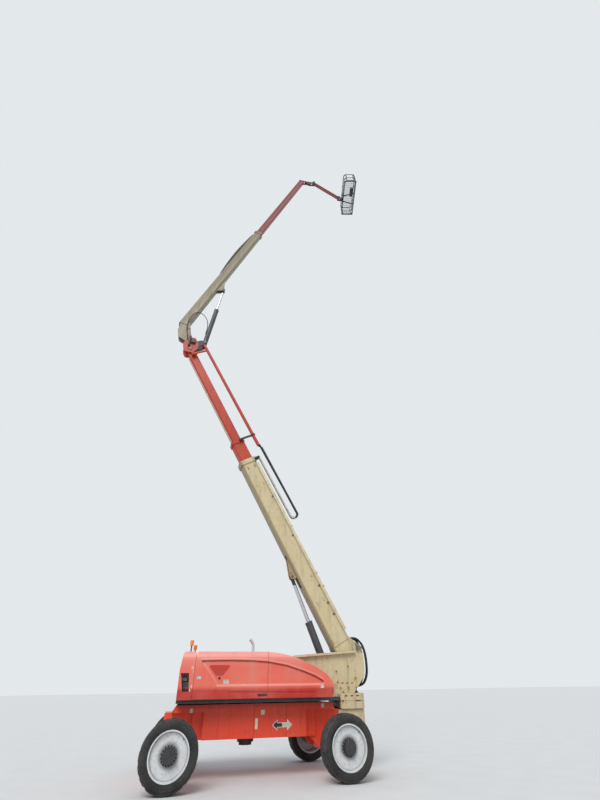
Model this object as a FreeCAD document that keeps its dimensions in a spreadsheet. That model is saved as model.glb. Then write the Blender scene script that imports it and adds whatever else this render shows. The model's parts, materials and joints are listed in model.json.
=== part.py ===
import FreeCAD, Part
import Sketcher
import math
import os
import re

# Articulating boom lift, millimetres and degrees.
# +Z is up, +X points to the counterweight end, -Y is the side with the ground controls.
# The origin lies on the ground below the slewing axis, midway between the axles.

SIZES = {
    # running gear
    "wheelbase": 3810,
    "track_half": 1680,
    "tyre_radius": 578,
    "tyre_width": 445,
    "lug_count": 18,
    "lug_gap": 62,
    "lug_depth": 14,
    "lug_centre": 70,
    "rim_radius": 400,
    "rim_width": 410,
    "disc_wall": 20,
    "disc_inset": 70,
    "hub_radius": 125,
    "hub_reach": 60,
    "kingpin_y": 1330,
    "kingpin_radius": 35,
    "pin_fit": 0.06,
    "slide_gap": 0.3,
    "part_gap": 6,
    "beam_long": 160,
    "beam_tall": 200,
    "beam_shift": 95,
    "beam_inner": 180,
    "yoke_plate": 40,
    "yoke_half": 260,
    "yoke_foot": 110,
    "yoke_top": 790,
    "yoke_bottom": 395,
    "lug_plate": 45,
    "lug_half": 85,
    "spindle_radius": 120,
    "spindle_neck": 95,
    # chassis
    "chassis_half": 660,
    "waist_half": 470,
    "cheek_half": 530,
    "cheek_reach": 1500,
    "chassis_bottom": 700,
    "deck_bottom": 1200,
    "chassis_top": 1340,
    "block_half": 1250,
    "deck_half": 1900,
    "deck_slant": 100,
    "waist_reach": 2150,
    "housing_half": 215,
    "housing_bottom": 420,
    "gusset_reach": 1320,
    "gusset_plate": 25,
    "swivel_radius": 200,
    "swivel_bottom": 545,
    "swivel_shift": 150,
    "slab_end": 2925,
    "slab_corner": 190,
    "tie_y": 330,
    "tie_z": 790,
    "tie_reach": 95,
    "tie_plate": 30,
    "tie_bore": 27,
    "slab_bottom": 850,
    "slab_top": 1180,
    "slab_count": 2,
    "slab_edge": 24,
    # slew ring and turntable
    "ring_radius": 620,
    "ring_top": 1372,
    "ring_gap": 0.3,
    "table_top": 1440,
    "table_half": 1130,
    "table_front": 1930,
    "table_past": 300,
    "wall_half": 440,
    "wall_plate": 12,
    "wall_top": 2250,
    "wall_end": 1000,
    # tail
    "tail_half": 300,
    "tail_plate": 40,
    "flange_wide": 150,
    "weight_bottom": 1190,
    "weight_top": 1510,
    "weight_half": 550,
    "ear_radius": 110,
    "tower_pin_radius": 50,
    # hoods
    "hood_half": 1200,
    "hood_inner": 455,
    "hinge_back": 30,
    "hood_bottom": 1440.3,
    "hood_top": 2380,
    "hood_left": 1590,
    "hood_wall": 14,
    "hood_round": 170,
    "hood_lean": 22,
    "panel_depth": 46,
    "scoop_depth": 16,
    "control_left": 1940,
    # tower boom
    "tower_pivot_x": 2880,
    "tower_pivot_z": 2520,
    "tower_angle": 60.8,
    "tower_drop": 310,
    "tower_reach": 12420,
    "base_tip": 6700,
    "base_root": 330,
    "base_wide": 460,
    "base_deep": 560,
    "base_wall": 12,
    "base_edge": 60,
    "collar_long": 140,
    "collar_proud": 32,
    "mid_tip": 7560,
    "mid_root": 1100,
    "mid_wide": 372,
    "mid_deep": 458,
    "mid_wall": 10,
    "mid_edge": 48,
    "head_gap": 290,
    "fly_root": 6250,
    "fly_wide": 290,
    "fly_deep": 350,
    "fly_wall": 10,
    "fly_edge": 40,
    "eye_radius": 60,
    "eye_along": 2550,
    "eye_drop": 708,
    "cyl_foot_x": 2180,
    "cyl_foot_z": 1665,
    "cyl_radius": 104,
    "cyl_bore": 86,
    "cyl_long": 1650,
    "rod_radius": 55,
    "rod_tail": 1335,
    "tower_cyl_pin": 38,
    # upright, main boom
    "upright_plate": 35,
    "upright_half": 205,
    "tongue_half": 94,
    "pivot_b_x": -320,
    "pivot_b_z": 1240,
    "foot_c_x": 518,
    "foot_c_z": 550,
    "main_angle": 71.9,
    "main_lift": 290,
    "main_tip": 9600,
    "main_root": 180,
    "main_wide": 340,
    "main_deep": 420,
    "main_wall": 10,
    "main_edge": 46,
    "arm_tip": 18700,
    "arm_root": 9060,
    "arm_wide": 270,
    "arm_deep": 345,
    "arm_wall": 9,
    "arm_edge": 38,
    "main_eye_along": 3500,
    "main_eye_drop": 170,
    "main_cyl_radius": 102,
    "main_cyl_bore": 82,
    "main_cyl_long": 2400,
    "main_rod_radius": 56,
    "main_rod_tail": 2030,
    # jib and platform
    "jib_pin_along": 18895,
    "swing_x": 330,
    "swing_pin": 35,
    "jib_root_x": 640,
    "jib_root_z": 100,
    "link_x": 47,
    "link_z": 266,
    "jib_angle": 37,
    "jib_long": 2356,
    "jib_bar": 90,
    "platform_long": 2500,
    "platform_wide": 880,
    "platform_tall": 1100,
    "platform_turn": -13,
    "rotator_x": 250,
    "rotator_tall": 230,
    "rotator_pin": 40,
    "platform_back": 140,
    "floor_low": 235,
    "rail_radius": 19,
    "gate_pin": 8,
    "hose_tube_radius": 60,
    "hose_y": -271,
    "hose_top": 300,
}

WORD = re.compile(r"[A-Za-z_][A-Za-z_0-9]*")
SIDE_NAMES = {-1: "near", 1: "far"}
END_NAMES = {-1: "front", 1: "rear"}

doc = FreeCAD.newDocument("BoomLift")
sheet = doc.addObject("Spreadsheet::Sheet", "Sizes")
for row, (alias, value) in enumerate(SIZES.items(), start=1):
    sheet.set("A%d" % row, str(value))
    sheet.setAlias("A%d" % row, alias)
doc.recompute()

NODES = []
counter = [0]


def vec(x=0.0, y=0.0, z=0.0):
    return FreeCAD.Vector(x, y, z)


def bound(text):
    """An expression whose size names point at the sheet."""
    return WORD.sub(lambda m: "Sizes." + m.group() if m.group() in SIZES else m.group(), str(text))


def fresh(kind):
    counter[0] += 1
    return "%s_%03d" % (kind, counter[0])


def place(obj, x="0", y="0", z="0", turn="0", axis=(0, 1, 0)):
    """Binds a placement: a turn about an axis through the object's own zero, then a shift."""
    obj.Placement = FreeCAD.Placement(vec(), FreeCAD.Rotation(vec(*axis), 1.0))
    for key, text in (("x", x), ("y", y), ("z", z)):
        obj.setExpression("Placement.Base." + key, bound(text))
    if turn == "0":
        obj.Placement = FreeCAD.Placement()
        for key, text in (("x", x), ("y", y), ("z", z)):
            obj.setExpression("Placement.Base." + key, bound(text))
    else:
        obj.setExpression("Placement.Rotation.Angle", bound(turn))
    return obj


def box(x0, x1, y0, y1, z0, z1):
    """A box between named limits."""
    obj = doc.addObject("Part::Box", fresh("Box"))
    obj.setExpression("Length", bound("(%s) - (%s)" % (x1, x0)))
    obj.setExpression("Width", bound("(%s) - (%s)" % (y1, y0)))
    obj.setExpression("Height", bound("(%s) - (%s)" % (z1, z0)))
    return place(obj, x0, y0, z0)


TURNS = {"x": ((0, 1, 0), "90"), "y": ((-1, 0, 0), "90"), "z": ((0, 1, 0), "0")}


def rod(radius, length, x="0", y="0", z="0", along="z"):
    """A cylinder that starts at a point and runs along +X, +Y or +Z."""
    obj = doc.addObject("Part::Cylinder", fresh("Rod"))
    obj.setExpression("Radius", bound(radius))
    obj.setExpression("Height", bound(length))
    axis, turn = TURNS[along]
    return place(obj, x, y, z, turn, axis)


def cross_rod(radius, half, x="0", z="0"):
    """A cylinder across the machine, centred on its middle plane."""
    return rod(radius, "2 * (%s)" % half, x, "-(%s)" % half, z, along="y")


def polygon(sketch, points):
    """A closed outline whose corners are held by named sizes."""
    start = sketch.GeometryCount
    count = len(points)
    for i in range(count):
        angle = 2 * math.pi * i / count
        after = 2 * math.pi * (i + 1) / count
        sketch.addGeometry(
            Part.LineSegment(
                vec(1000 * math.cos(angle), 1000 * math.sin(angle)),
                vec(1000 * math.cos(after), 1000 * math.sin(after)),
            ),
            False,
        )
    for i in range(count):
        follower = start + (i + 1) % count
        sketch.addConstraint(Sketcher.Constraint("Coincident", start + i, 2, follower, 1))
    for i, (across, up) in enumerate(points):
        for kind, text in (("DistanceX", across), ("DistanceY", up)):
            number = sketch.addConstraint(Sketcher.Constraint(kind, -1, 1, start + i, 1, 10.0))
            sketch.setExpression("Constraints[%d]" % number, bound(text))


def padded(plane, outlines, length, middle, symmetric=True):
    """A sketch of outlines on a plane of its own body, padded about a middle plane."""
    body = doc.addObject("PartDesign::Body", fresh("Body"))
    sketch = body.newObject("Sketcher::SketchObject", fresh("Sketch"))
    origin = [f for f in body.Origin.OriginFeatures if f.Role == plane][0]
    sketch.AttachmentSupport = [(origin, "")]
    sketch.MapMode = "FlatFace"
    for points in outlines:
        polygon(sketch, points)
    if middle != "0":
        sketch.setExpression("AttachmentOffset.Base.z", bound(middle))
    pad = body.newObject("PartDesign::Pad", fresh("Pad"))
    pad.Profile = sketch
    pad.SideType = "Symmetric" if symmetric else "One side"
    pad.setExpression("Length", bound(length))
    return body


def plate(points, width, y="0"):
    """A side outline in X and Z, as thick as its width, centred on y."""
    return padded("XZ_Plane", [points], width, "-(%s)" % y if y != "0" else "0")


def plan(points, z0, z1):
    """A plan outline in X and Y between two heights."""
    return padded("XY_Plane", [points], "(%s) - (%s)" % (z1, z0), z0, symmetric=False)


def octagon(wide, deep, edge, mid_z):
    """The corners of a box section with cut edges, in Y and Z."""
    half_w, half_d = "(%s) / 2" % wide, "(%s) / 2" % deep
    corners = []
    for sy, sz, steep in (
        (1, -1, 0), (1, -1, 1), (1, 1, 1), (1, 1, 0), (-1, 1, 0), (-1, 1, 1), (-1, -1, 1), (-1, -1, 0),
    ):
        y = "%d * (%s - %s)" % (sy, half_w, "0" if steep else edge)
        z = "%s + %d * (%s - %s)" % (mid_z, sz, half_d, edge if steep else "0")
        corners.append((y, z))
    return corners


def tube(x0, x1, wide, deep, edge, mid_z, wall):
    """A hollow box section along X."""
    inner = octagon("%s - 2 * (%s)" % (wide, wall), "%s - 2 * (%s)" % (deep, wall), edge, mid_z)
    outer = octagon(wide, deep, edge, mid_z)
    return padded("YZ_Plane", [outer, inner], "(%s) - (%s)" % (x1, x0), x0, symmetric=False)


def fuse(*parts):
    obj = doc.addObject("Part::MultiFuse", fresh("Fuse"))
    obj.Shapes = list(parts)
    obj.Refine = True
    return obj


def cut(base, *tools):
    obj = doc.addObject("Part::Cut", fresh("Cut"))
    obj.Base = base
    obj.Tool = tools[0] if len(tools) == 1 else fuse(*tools)
    obj.Refine = True
    return obj


def apart(*parts):
    """Solids that don't touch, kept side by side in one sub-part."""
    obj = doc.addObject("Part::Compound", fresh("Group"))
    obj.Links = list(parts)
    return obj


def node(label, obj, frame=None):
    """Names a finished sub-part and sets it in its frame."""
    if frame:
        obj = place(apart(obj), frame["x"], "0", frame["z"], frame["turn"], frame["axis"])
    obj.Label = label
    NODES.append(obj)
    return obj


# Frames of the booms: each section is drawn lying along X with its pivot at zero, then turned up.
COS_T, SIN_T = "cos(tower_angle)", "sin(tower_angle)"
HEAD_X = "(tower_pivot_x - tower_reach * %s - tower_drop * %s)" % (COS_T, SIN_T)
HEAD_Z = "(tower_pivot_z + tower_reach * %s - tower_drop * %s)" % (SIN_T, COS_T)
MAIN_X = "(%s + pivot_b_x)" % HEAD_X
MAIN_Z = "(%s + pivot_b_z)" % HEAD_Z
TOWER = {"x": "tower_pivot_x", "z": "tower_pivot_z", "turn": "tower_angle", "axis": (0, 1, 0)}
HEAD = {"x": HEAD_X, "z": HEAD_Z, "turn": "0", "axis": (0, 1, 0)}
MAIN = {"x": MAIN_X, "z": MAIN_Z, "turn": "main_angle", "axis": (0, -1, 0)}


def slab(x0, x1, half, z0, z1, corner):
    """A ballast slab with its two outer corners cut off in plan and its ends' edges cut off in side view."""
    edge = "slab_edge"
    side_view = plate(
        [(x0, "%s + %s" % (z0, edge)), ("%s + %s" % (x0, edge), z0), ("%s - %s" % (x1, edge), z0),
         (x1, "%s + %s" % (z0, edge)), (x1, "%s - %s" % (z1, edge)), ("%s - %s" % (x1, edge), z1),
         ("%s + %s" % (x0, edge), z1), (x0, "%s - %s" % (z1, edge))],
        "2 * (%s) + 20" % half,
    )
    both = doc.addObject("Part::MultiCommon", fresh("Common"))
    both.Shapes = [side_view, slab_plan(x0, x1, half, z0, z1, corner)]
    return both


def slab_plan(x0, x1, half, z0, z1, corner):
    """The slab's outline seen from above."""
    return plan(
        [(x0, "-(%s)" % half), ("%s - %s" % (x1, corner), "-(%s)" % half),
         ("%s - %s * 0.3" % (x1, corner), "-(%s) + %s * 0.3" % (half, corner)),
         (x1, "-(%s) + %s" % (half, corner)),
         (x1, "%s - %s" % (half, corner)), ("%s - %s * 0.3" % (x1, corner),
                                            "%s - %s * 0.3" % (half, corner)),
         ("%s - %s" % (x1, corner), half), (x0, half)],
        z0, z1,
    )


def chassis():
    """Frame with a full-width middle, a deck over the wheels and two axle housings."""
    block = box("-block_half", "block_half", "-chassis_half", "chassis_half", "chassis_bottom",
                "chassis_top")
    low = "deck_half + deck_slant"
    deck = plate(
        [("-(%s)" % low, "deck_bottom"), (low, "deck_bottom"), ("deck_half", "chassis_top"),
         ("-deck_half", "chassis_top")],
        "2 * chassis_half",
    )
    waist = plate(
        [
            ("-waist_reach", "chassis_bottom"), ("waist_reach", "chassis_bottom"),
            ("waist_reach", "deck_bottom"), ("-waist_reach", "deck_bottom"),
        ],
        "2 * waist_half",
    )
    cheeks = box("-cheek_reach", "cheek_reach", "-cheek_half", "cheek_half", "chassis_bottom",
                 "deck_bottom + 10")
    parts = [block, deck, waist, cheeks]
    pockets = []
    for end in (-1, 1):
        axle = "%d * wheelbase / 2" % end
        parts.append(
            box(axle + " - housing_half", axle + " + housing_half", "-waist_half", "waist_half",
                "housing_bottom", "chassis_bottom + 20")
        )
        for side in (-1, 1):
            gusset = [
                ("%d * gusset_reach" % end, "chassis_bottom + 20"),
                ("%d * (wheelbase / 2 - housing_half)" % end, "housing_bottom"),
                ("%d * (wheelbase / 2 - housing_half + 30)" % end, "chassis_bottom + 20"),
            ]
            parts.append(plate(gusset, "gusset_plate", "%d * (waist_half - gusset_plate / 2)" % side))
            middle = "%s + %d * beam_shift" % (axle, side)
            half = "(beam_long / 2 + slide_gap)"
            pockets.append(
                box("%s - %s" % (middle, half), "%s + %s" % (middle, half), "-waist_half - 5",
                    "waist_half + 5",
                    "tyre_radius - beam_tall / 2 - slide_gap", "tyre_radius + beam_tall / 2 + slide_gap")
            )
    for side in (-1, 1):
        for end in (-1, 1):
            foot, tip = "%d * waist_reach" % end, "%d * (waist_reach + tie_reach)" % end
            ear = [(foot, "%d * tie_y - 80" % side), (tip, "%d * tie_y - 50" % side),
                   (tip, "%d * tie_y + 50" % side),
                   (foot, "%d * tie_y + 80" % side)]
            parts.append(plan(ear, "tie_z - tie_plate / 2", "tie_z + tie_plate / 2"))
            pockets.append(rod("tie_bore", "tie_plate + 40", "%d * (waist_reach + tie_reach / 2 + 8)" % end,
                               "%d * tie_y" % side, "tie_z - tie_plate / 2 - 20"))
    node("chassis_frame", cut(fuse(*parts), *pockets))
    guard = fuse(rod("swivel_radius", "chassis_bottom - swivel_bottom - 60", "-swivel_shift", "0",
                     "swivel_bottom + 60"),
                 rod("swivel_radius - 45", "60", "-swivel_shift", "0", "swivel_bottom"))
    node("swivel_guard", guard)
    slabs = []
    for i in range(SIZES["slab_count"]):
        low, high = ["(slab_bottom + %d * (slab_top - slab_bottom) / slab_count)" % k for k in (i, i + 1)]
        slabs.append(slab("waist_reach + %s" % ("0" if i else "15"), "slab_end", "waist_half + 20", low,
                          high, "slab_corner"))
    core = box("waist_reach", "slab_end - slab_corner", "-waist_half + 20", "waist_half - 20",
               "slab_bottom + 40", "slab_top - 40")
    node("end_weights", fuse(*slabs, core))
    ring = rod("ring_radius", "ring_top - chassis_top", "0", "0", "chassis_top")
    node("slew_ring", cut(ring, rod("ring_radius - 120", "ring_top - chassis_top + 20", "0", "0",
                                    "chassis_top - 10")))


def axle_end(end, side):
    """Sliding beam with its yoke, and the steering knuckle between the yoke's lugs."""
    name = "%s_%s" % (END_NAMES[end], SIDE_NAMES[side])
    axle = "%d * wheelbase / 2" % end
    middle = "%s + %d * beam_shift" % (axle, side)
    plate_out = "(kingpin_y - 130)"
    plate_in = "(%s - yoke_plate)" % plate_out

    def span(inner, outer):
        """The two Y limits of a piece on this side, lowest first."""
        if side > 0:
            return inner, outer
        return "-(%s)" % outer, "-(%s)" % inner

    y0, y1 = span("beam_inner", plate_in)
    beam = box(middle + " - beam_long / 2", middle + " + beam_long / 2", y0, y1,
               "tyre_radius - beam_tall / 2", "tyre_radius + beam_tall / 2")
    yoke = plate(
        [(axle + " - yoke_foot", "yoke_bottom"), (axle + " + yoke_foot", "yoke_bottom"),
         (axle + " + yoke_half", "yoke_top - 120"), (axle + " + yoke_half", "yoke_top"),
         (axle + " - yoke_half", "yoke_top"), (axle + " - yoke_half", "yoke_top - 120")],
        "yoke_plate", "%d * (%s - yoke_plate / 2)" % (side, plate_out),
    )
    lugs = []
    y0, y1 = span(plate_out, "kingpin_y")
    for low, high in (("yoke_bottom", "yoke_bottom + lug_plate"), ("yoke_top - lug_plate", "yoke_top")):
        lugs.append(box(axle + " - lug_half", axle + " + lug_half", y0, y1, low, high))
        lugs.append(rod("lug_half", "lug_plate", axle, "%d * kingpin_y" % side, low))
    bore = rod("kingpin_radius + pin_fit", "yoke_top - yoke_bottom + 40", axle, "%d * kingpin_y" % side,
               "yoke_bottom - 20")
    node("axle_" + name, cut(fuse(beam, yoke, *lugs), bore))

    pin = rod("kingpin_radius", "yoke_top - yoke_bottom + 24", axle, "%d * kingpin_y" % side,
              "yoke_bottom - 12")
    barrel = rod("lug_half - 5", "yoke_top - yoke_bottom - 2 * lug_plate - 2", axle,
                 "%d * kingpin_y" % side,
                 "yoke_bottom + lug_plate + 1")
    shoulder = "kingpin_y + lug_half + 15"
    y0, y1 = span("kingpin_y + 20", shoulder + " + 10")
    neck = rod("spindle_neck", "(%s) - (%s)" % (y1, y0), axle, y0, "tyre_radius", along="y")
    y0, y1 = span(shoulder, "track_half + rim_width / 2 - disc_inset - disc_wall - slide_gap")
    spindle = rod("spindle_radius", "(%s) - (%s)" % (y1, y0), axle, y0, "tyre_radius", along="y")
    flange = rod("spindle_radius + 40", "50", axle, "%d * (%s + 25) - 25" % (side, shoulder), "tyre_radius",
                 along="y")
    node("knuckle_" + name, fuse(pin, barrel, neck, spindle, flange))


def lug_gaps():
    """The gaps between the tread lugs, staggered on the two shoulders."""
    cuts = []
    step = 360.0 / SIZES["lug_count"]
    for row, (low, high) in enumerate((("-tyre_width / 2 - 20", "-lug_centre"),
                                       ("lug_centre", "tyre_width / 2 + 20"))):
        gap = box("-lug_gap / 2", "lug_gap / 2", low, high, "tyre_radius - lug_depth", "tyre_radius + 30")
        for i in range(SIZES["lug_count"]):
            turned = place(apart(gap), turn=str(step * (i + 0.5 * row) + 0.5), axis=(0, 1, 0))
            cuts.append(turned)
    return apart(*cuts)


def wheel(end, side, gaps):
    """Tyre of revolution with its lugs, and rim with its disc and planetary hub."""
    name = "%s_%s" % (END_NAMES[end], SIDE_NAMES[side])
    at_x = "%d * wheelbase / 2" % end
    at_y = "%d * track_half" % side
    half = "tyre_width / 2"
    tyre_outline = [
        ("-rim_width / 2 + 4", "rim_radius"), ("-(%s)" % half, "rim_radius + 55"),
        ("-(%s)" % half, "tyre_radius - 75"), ("-(%s) + 28" % half, "tyre_radius - 18"),
        ("-(%s) + 75" % half, "tyre_radius"), ("%s - 75" % half, "tyre_radius"),
        ("%s - 28" % half, "tyre_radius - 18"), (half, "tyre_radius - 75"),
        (half, "rim_radius + 55"), ("rim_width / 2 - 4", "rim_radius"),
    ]
    tread = place(apart(gaps), at_x, at_y, "tyre_radius")
    node("tyre_" + name, cut(revolved(tyre_outline, at_x, at_y, "tyre_radius"), tread))
    out = side
    face = "%d * (rim_width / 2 - disc_inset)" % out
    back = "%d * (rim_width / 2 - disc_inset - disc_wall)" % out
    lip = "%d * rim_width / 2" % out
    inner_lip = "%d * rim_width / 2" % -out
    rim_outline = [
        (lip, "rim_radius"), (lip, "rim_radius - 22"), (face, "rim_radius - 40"), (face, "hub_radius"),
        ("%d * (rim_width / 2 + hub_reach - 30)" % out, "hub_radius"),
        ("%d * (rim_width / 2 + hub_reach)" % out, "hub_radius - 40"),
        ("%d * (rim_width / 2 + hub_reach)" % out, "0"),
        (back, "0"), (back, "rim_radius - 40"), (inner_lip, "rim_radius - 22"), (inner_lip, "rim_radius"),
    ]
    node("rim_" + name, revolved(rim_outline, at_x, at_y, "tyre_radius"))


def revolved(outline, x, y, z):
    """A body of revolution about a cross axis: the outline gives Y and the radius."""
    body = doc.addObject("PartDesign::Body", fresh("Body"))
    sketch = body.newObject("Sketcher::SketchObject", fresh("Sketch"))
    origin = [f for f in body.Origin.OriginFeatures if f.Role == "YZ_Plane"][0]
    sketch.AttachmentSupport = [(origin, "")]
    sketch.MapMode = "FlatFace"
    polygon(sketch, outline)
    turned = body.newObject("PartDesign::Revolution", fresh("Revolution"))
    turned.Profile = sketch
    turned.ReferenceAxis = (sketch, ["H_Axis"])
    turned.Angle = 360
    return place(body, x, y, z)


HINGES = (-1370, -430)


def hood_carriers():
    """Tabs on the channel walls with the hoods' hinge pins between them."""
    tabs = []
    for side in (-1, 1):
        for at in [start + step for start in HINGES for step in (-15, 185)]:
            hinge = "%d * (hood_inner - hinge_back)" % side
            tabs.append(box("%d" % at, "%d + 30" % at, hinge + " - 17", hinge + " + 17", "wall_top - 20",
                            "hood_top + 22"))
        for at in HINGES:
            tabs.append(rod("14", "200", "%d" % at, hinge, "hood_top + 6", along="x"))
    return tabs


def turntable():
    """Deck with the walls of the middle channel, tail frame, counterweight and what stands on them."""
    deck = plan(
        [("-table_front", "-table_half + 200"), ("-table_front + 200", "-table_half"),
         ("1500", "-table_half"),
         ("(deck_half + table_past)", "-weight_half"), ("(deck_half + table_past)", "weight_half"),
         ("1500", "table_half"),
         ("-table_front + 200", "table_half"), ("-table_front", "table_half - 200")],
        "ring_top + ring_gap", "table_top",
    )
    walls = [
        box("-table_front + 80", "wall_end", "%d * wall_half - wall_plate / 2" % side,
            "%d * wall_half + wall_plate / 2" % side,
            "table_top - 5", "wall_top")
        for side in (-1, 1)
    ]
    node("turntable_deck", fuse(deck, *walls, *hood_carriers()))

    plates = []
    for side in (-1, 1):
        outline = [
            ("cyl_foot_x - 1180", "table_top"), ("(deck_half + table_past)", "table_top"),
            ("(deck_half + table_past)", "weight_top"),
            ("tower_pivot_x - 190", "weight_top"),
            ("tower_pivot_x + 145", "weight_top + 370"), ("tower_pivot_x + 165", "tower_pivot_z - 180"),
            ("tower_pivot_x + 100", "tower_pivot_z - 70"),
            ("tower_pivot_x - 100", "tower_pivot_z - 60"), ("cyl_foot_x - 1180", "tower_pivot_z - 230"),
        ]
        middle = "%d * (tail_half - tail_plate / 2)" % side
        plates.append(plate(outline, "tail_plate", middle))
        plates.append(
            rod("ear_radius", "tail_plate", "tower_pivot_x",
                "%d * tail_half - %s" % (side, "tail_plate" if side > 0 else "0"),
                "tower_pivot_z", along="y")
        )
        flange = [
            ("cyl_foot_x - 1180", "tower_pivot_z - 230"), ("tower_pivot_x - 100", "tower_pivot_z - 110"),
            ("tower_pivot_x - 100", "tower_pivot_z - 60"), ("cyl_foot_x - 1180", "tower_pivot_z - 180"),
        ]
        plates.append(plate(flange, "flange_wide",
                            "%d * (tail_half + flange_wide / 2 - tail_plate)" % side))
    floor = box("(deck_half + table_past) - 250", "tower_pivot_x - 190", "-tail_half + 5", "tail_half - 5",
                "weight_top", "weight_top + 40")
    slots = [
        box("(deck_half + table_past) + %d" % (130 + 140 * i),
            "(deck_half + table_past) + %d" % (200 + 140 * i), "-tail_half - 20", "tail_half + 20",
            "weight_top + 200", "weight_top + 225")
        for i in range(3)
    ]
    pins = [
        cross_rod("tower_pin_radius", "tail_half + 25", "tower_pivot_x", "tower_pivot_z"),
        cross_rod("tower_cyl_pin", "tail_half + 15", "cyl_foot_x", "cyl_foot_z"),
    ]
    node("tail_frame", fuse(cut(fuse(*plates, floor), *slots), *pins))

    split = "(weight_bottom + weight_top) / 2"
    weight = fuse(
        slab("(deck_half + table_past)", "slab_end", "weight_half", "weight_bottom", split + " - 4",
             "slab_corner"),
        slab("(deck_half + table_past)", "slab_end", "weight_half", split + " + 4", "weight_top",
             "slab_corner"),
        slab("(deck_half + table_past)", "slab_end - 12", "weight_half - 12", split + " - 10",
             split + " + 10", "slab_corner"),
    )
    marks = [
        box("(deck_half + table_past) + %d" % low, "(deck_half + table_past) + %d" % high,
            "%d * weight_half - 60" % side, "%d * weight_half + 60" % side,
            split + " - 16", split + " + 16")
        for side in (-1, 1) for low, high in ((40, 100), (420, 560))
    ]
    node("tail_weight", cut(weight, *marks))
    node("engine_block", box("-600", "700", "-1000", "-540", "table_top", "2080"))
    pipe_y = -SIZES["wall_half"] + SIZES["wall_plate"] / 2 + 36.3
    node("exhaust_pipe", hose([(-125, pipe_y, 2190), (-125, pipe_y, 2600), (-215, pipe_y, 2700)], 36))
    posts = [rod("16", "130", "-1740", "-900", "hood_top"), rod("16", "60", "-1640", "-700", "hood_top")]
    lamps = [rod("45", "110", "-1740", "-900", "hood_top + 130"),
             rod("45", "90", "-1640", "-700", "hood_top + 60")]
    panel = fuse(
        plate(CONTROL_PLATE, "16", "-hood_half + 191.7"),
        box("-1856", "-1742", "-hood_half + 150", "-hood_half + 190", "1790", "1915"),
        *[rod("11", "30", str(x), "-hood_half + 156", str(z), along="y") for x in (-1815, -1775,
            -1735) for z in (1660, 1725)],
    )
    node("control_panel", panel)
    node("beacon_posts", apart(*posts))
    node("beacon_lamps", apart(*lamps))


HOOD_SIDE = [
    ("-hood_left", "hood_bottom"), ("-hood_left", "hood_top - 70"), ("-hood_left + 40", "hood_top"),
    ("150", "hood_top"), ("430", "hood_top - 30"), ("700", "hood_top - 82"), ("1000", "hood_top - 170"),
    ("1300", "hood_top - 285"), ("1530", "hood_top - 395"), ("1690", "hood_top - 495"),
    ("1790", "hood_top - 600"),
    ("1832", "hood_top - 710"), ("1825", "hood_top - 850"), ("1795", "hood_bottom + 30"),
    ("1740", "hood_bottom"),
]
HOOD_CORE = [
    ("-hood_left + hood_wall", "hood_bottom - 20"), ("-hood_left + hood_wall", "hood_top - 80"),
    ("-hood_left + 50", "hood_top - hood_wall"), ("150", "hood_top - hood_wall"),
    ("426", "hood_top - 30 - hood_wall"),
    ("695", "hood_top - 82 - hood_wall"), ("993", "hood_top - 171 - hood_wall"),
    ("1290", "hood_top - 285 - hood_wall"),
    ("1520", "hood_top - 395 - hood_wall"), ("1676", "hood_top - 500 - hood_wall"),
    ("1774", "hood_top - 610"),
    ("1815", "hood_top - 714"), ("1808", "hood_top - 850"), ("1785", "hood_bottom - 20"),
]
PANEL = [
    ("-1450", "hood_top - 190"), ("-800", "hood_top - 180"), ("-230", "hood_top - 190"),
    ("165", "hood_top - 215"),
    ("650", "hood_top - 290"), ("1115", "hood_top - 420"), ("1370", "hood_top - 508"),
    ("1560", "hood_top - 598"),
    ("1578", "hood_top - 640"), ("1545", "hood_top - 670"), ("-1025", "hood_top - 665"),
    ("-1080", "hood_top - 640"),
    ("-1450", "hood_top - 235"),
]
SCOOP = [
    ("-780", "hood_bottom + 148"), ("1360", "hood_bottom + 122"), ("1320", "hood_bottom + 88"),
    ("1230", "hood_bottom + 70"), ("-640", "hood_bottom + 26"), ("-760", "hood_bottom + 60"),
]
CONTROL_SIDE = [
    ("-control_left + 12", "table_top"), ("-control_left", "hood_top - 380"),
    ("-control_left + 35", "hood_top - 80"),
    ("-control_left + 62", "hood_top - 22"), ("-control_left + 105", "hood_top"),
    ("-hood_left - part_gap", "hood_top"), ("-hood_left - part_gap", "table_top"),
]
CONTROL_DOOR = [("-1900", "1942"), ("-1722", "1942"), ("-1668", "1594"), ("-1822", "1594")]
CONTROL_PLATE = [("-1895", "1937"), ("-1727", "1937"), ("-1674", "1599"), ("-1818", "1599")]


def end_view(side, inset, low):
    """Section across a hood: upright flank, then a round shoulder up to the roof."""
    points = [("%d * (hood_inner - (%s))" % (side, inset), low),
              ("%d * (hood_half - (%s))" % (side, inset), low),
              ("%d * (hood_half - (%s))" % (side, inset), "hood_bottom + 260")]
    for turn in (0, 18, 36, 54, 72, 90):
        sink, rise = 1 - math.cos(math.radians(turn)), 1 - math.sin(math.radians(turn))
        points.append(("%d * (hood_half - hood_lean - (%s) - hood_round * %.4f)" % (side, inset, sink),
                       "hood_top - (%s) * 0.3 - hood_round * %.4f" % (inset, rise)))
    points.append(("%d * (hood_inner - (%s))" % (side, inset), "hood_top - (%s) * 0.3" % inset))
    return points


def moulded(side_outline, side):
    """A housing whose side view and end view are both drawn: the two pads share their common part."""
    long = plate(side_outline, "hood_half - hood_inner", "%d * (hood_half + hood_inner) / 2" % side)
    across = padded("YZ_Plane", [end_view(side, "0", "hood_bottom - 10")], "5000", "0")
    both = doc.addObject("Part::MultiCommon", fresh("Common"))
    both.Shapes = [long, across]
    return both


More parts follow.
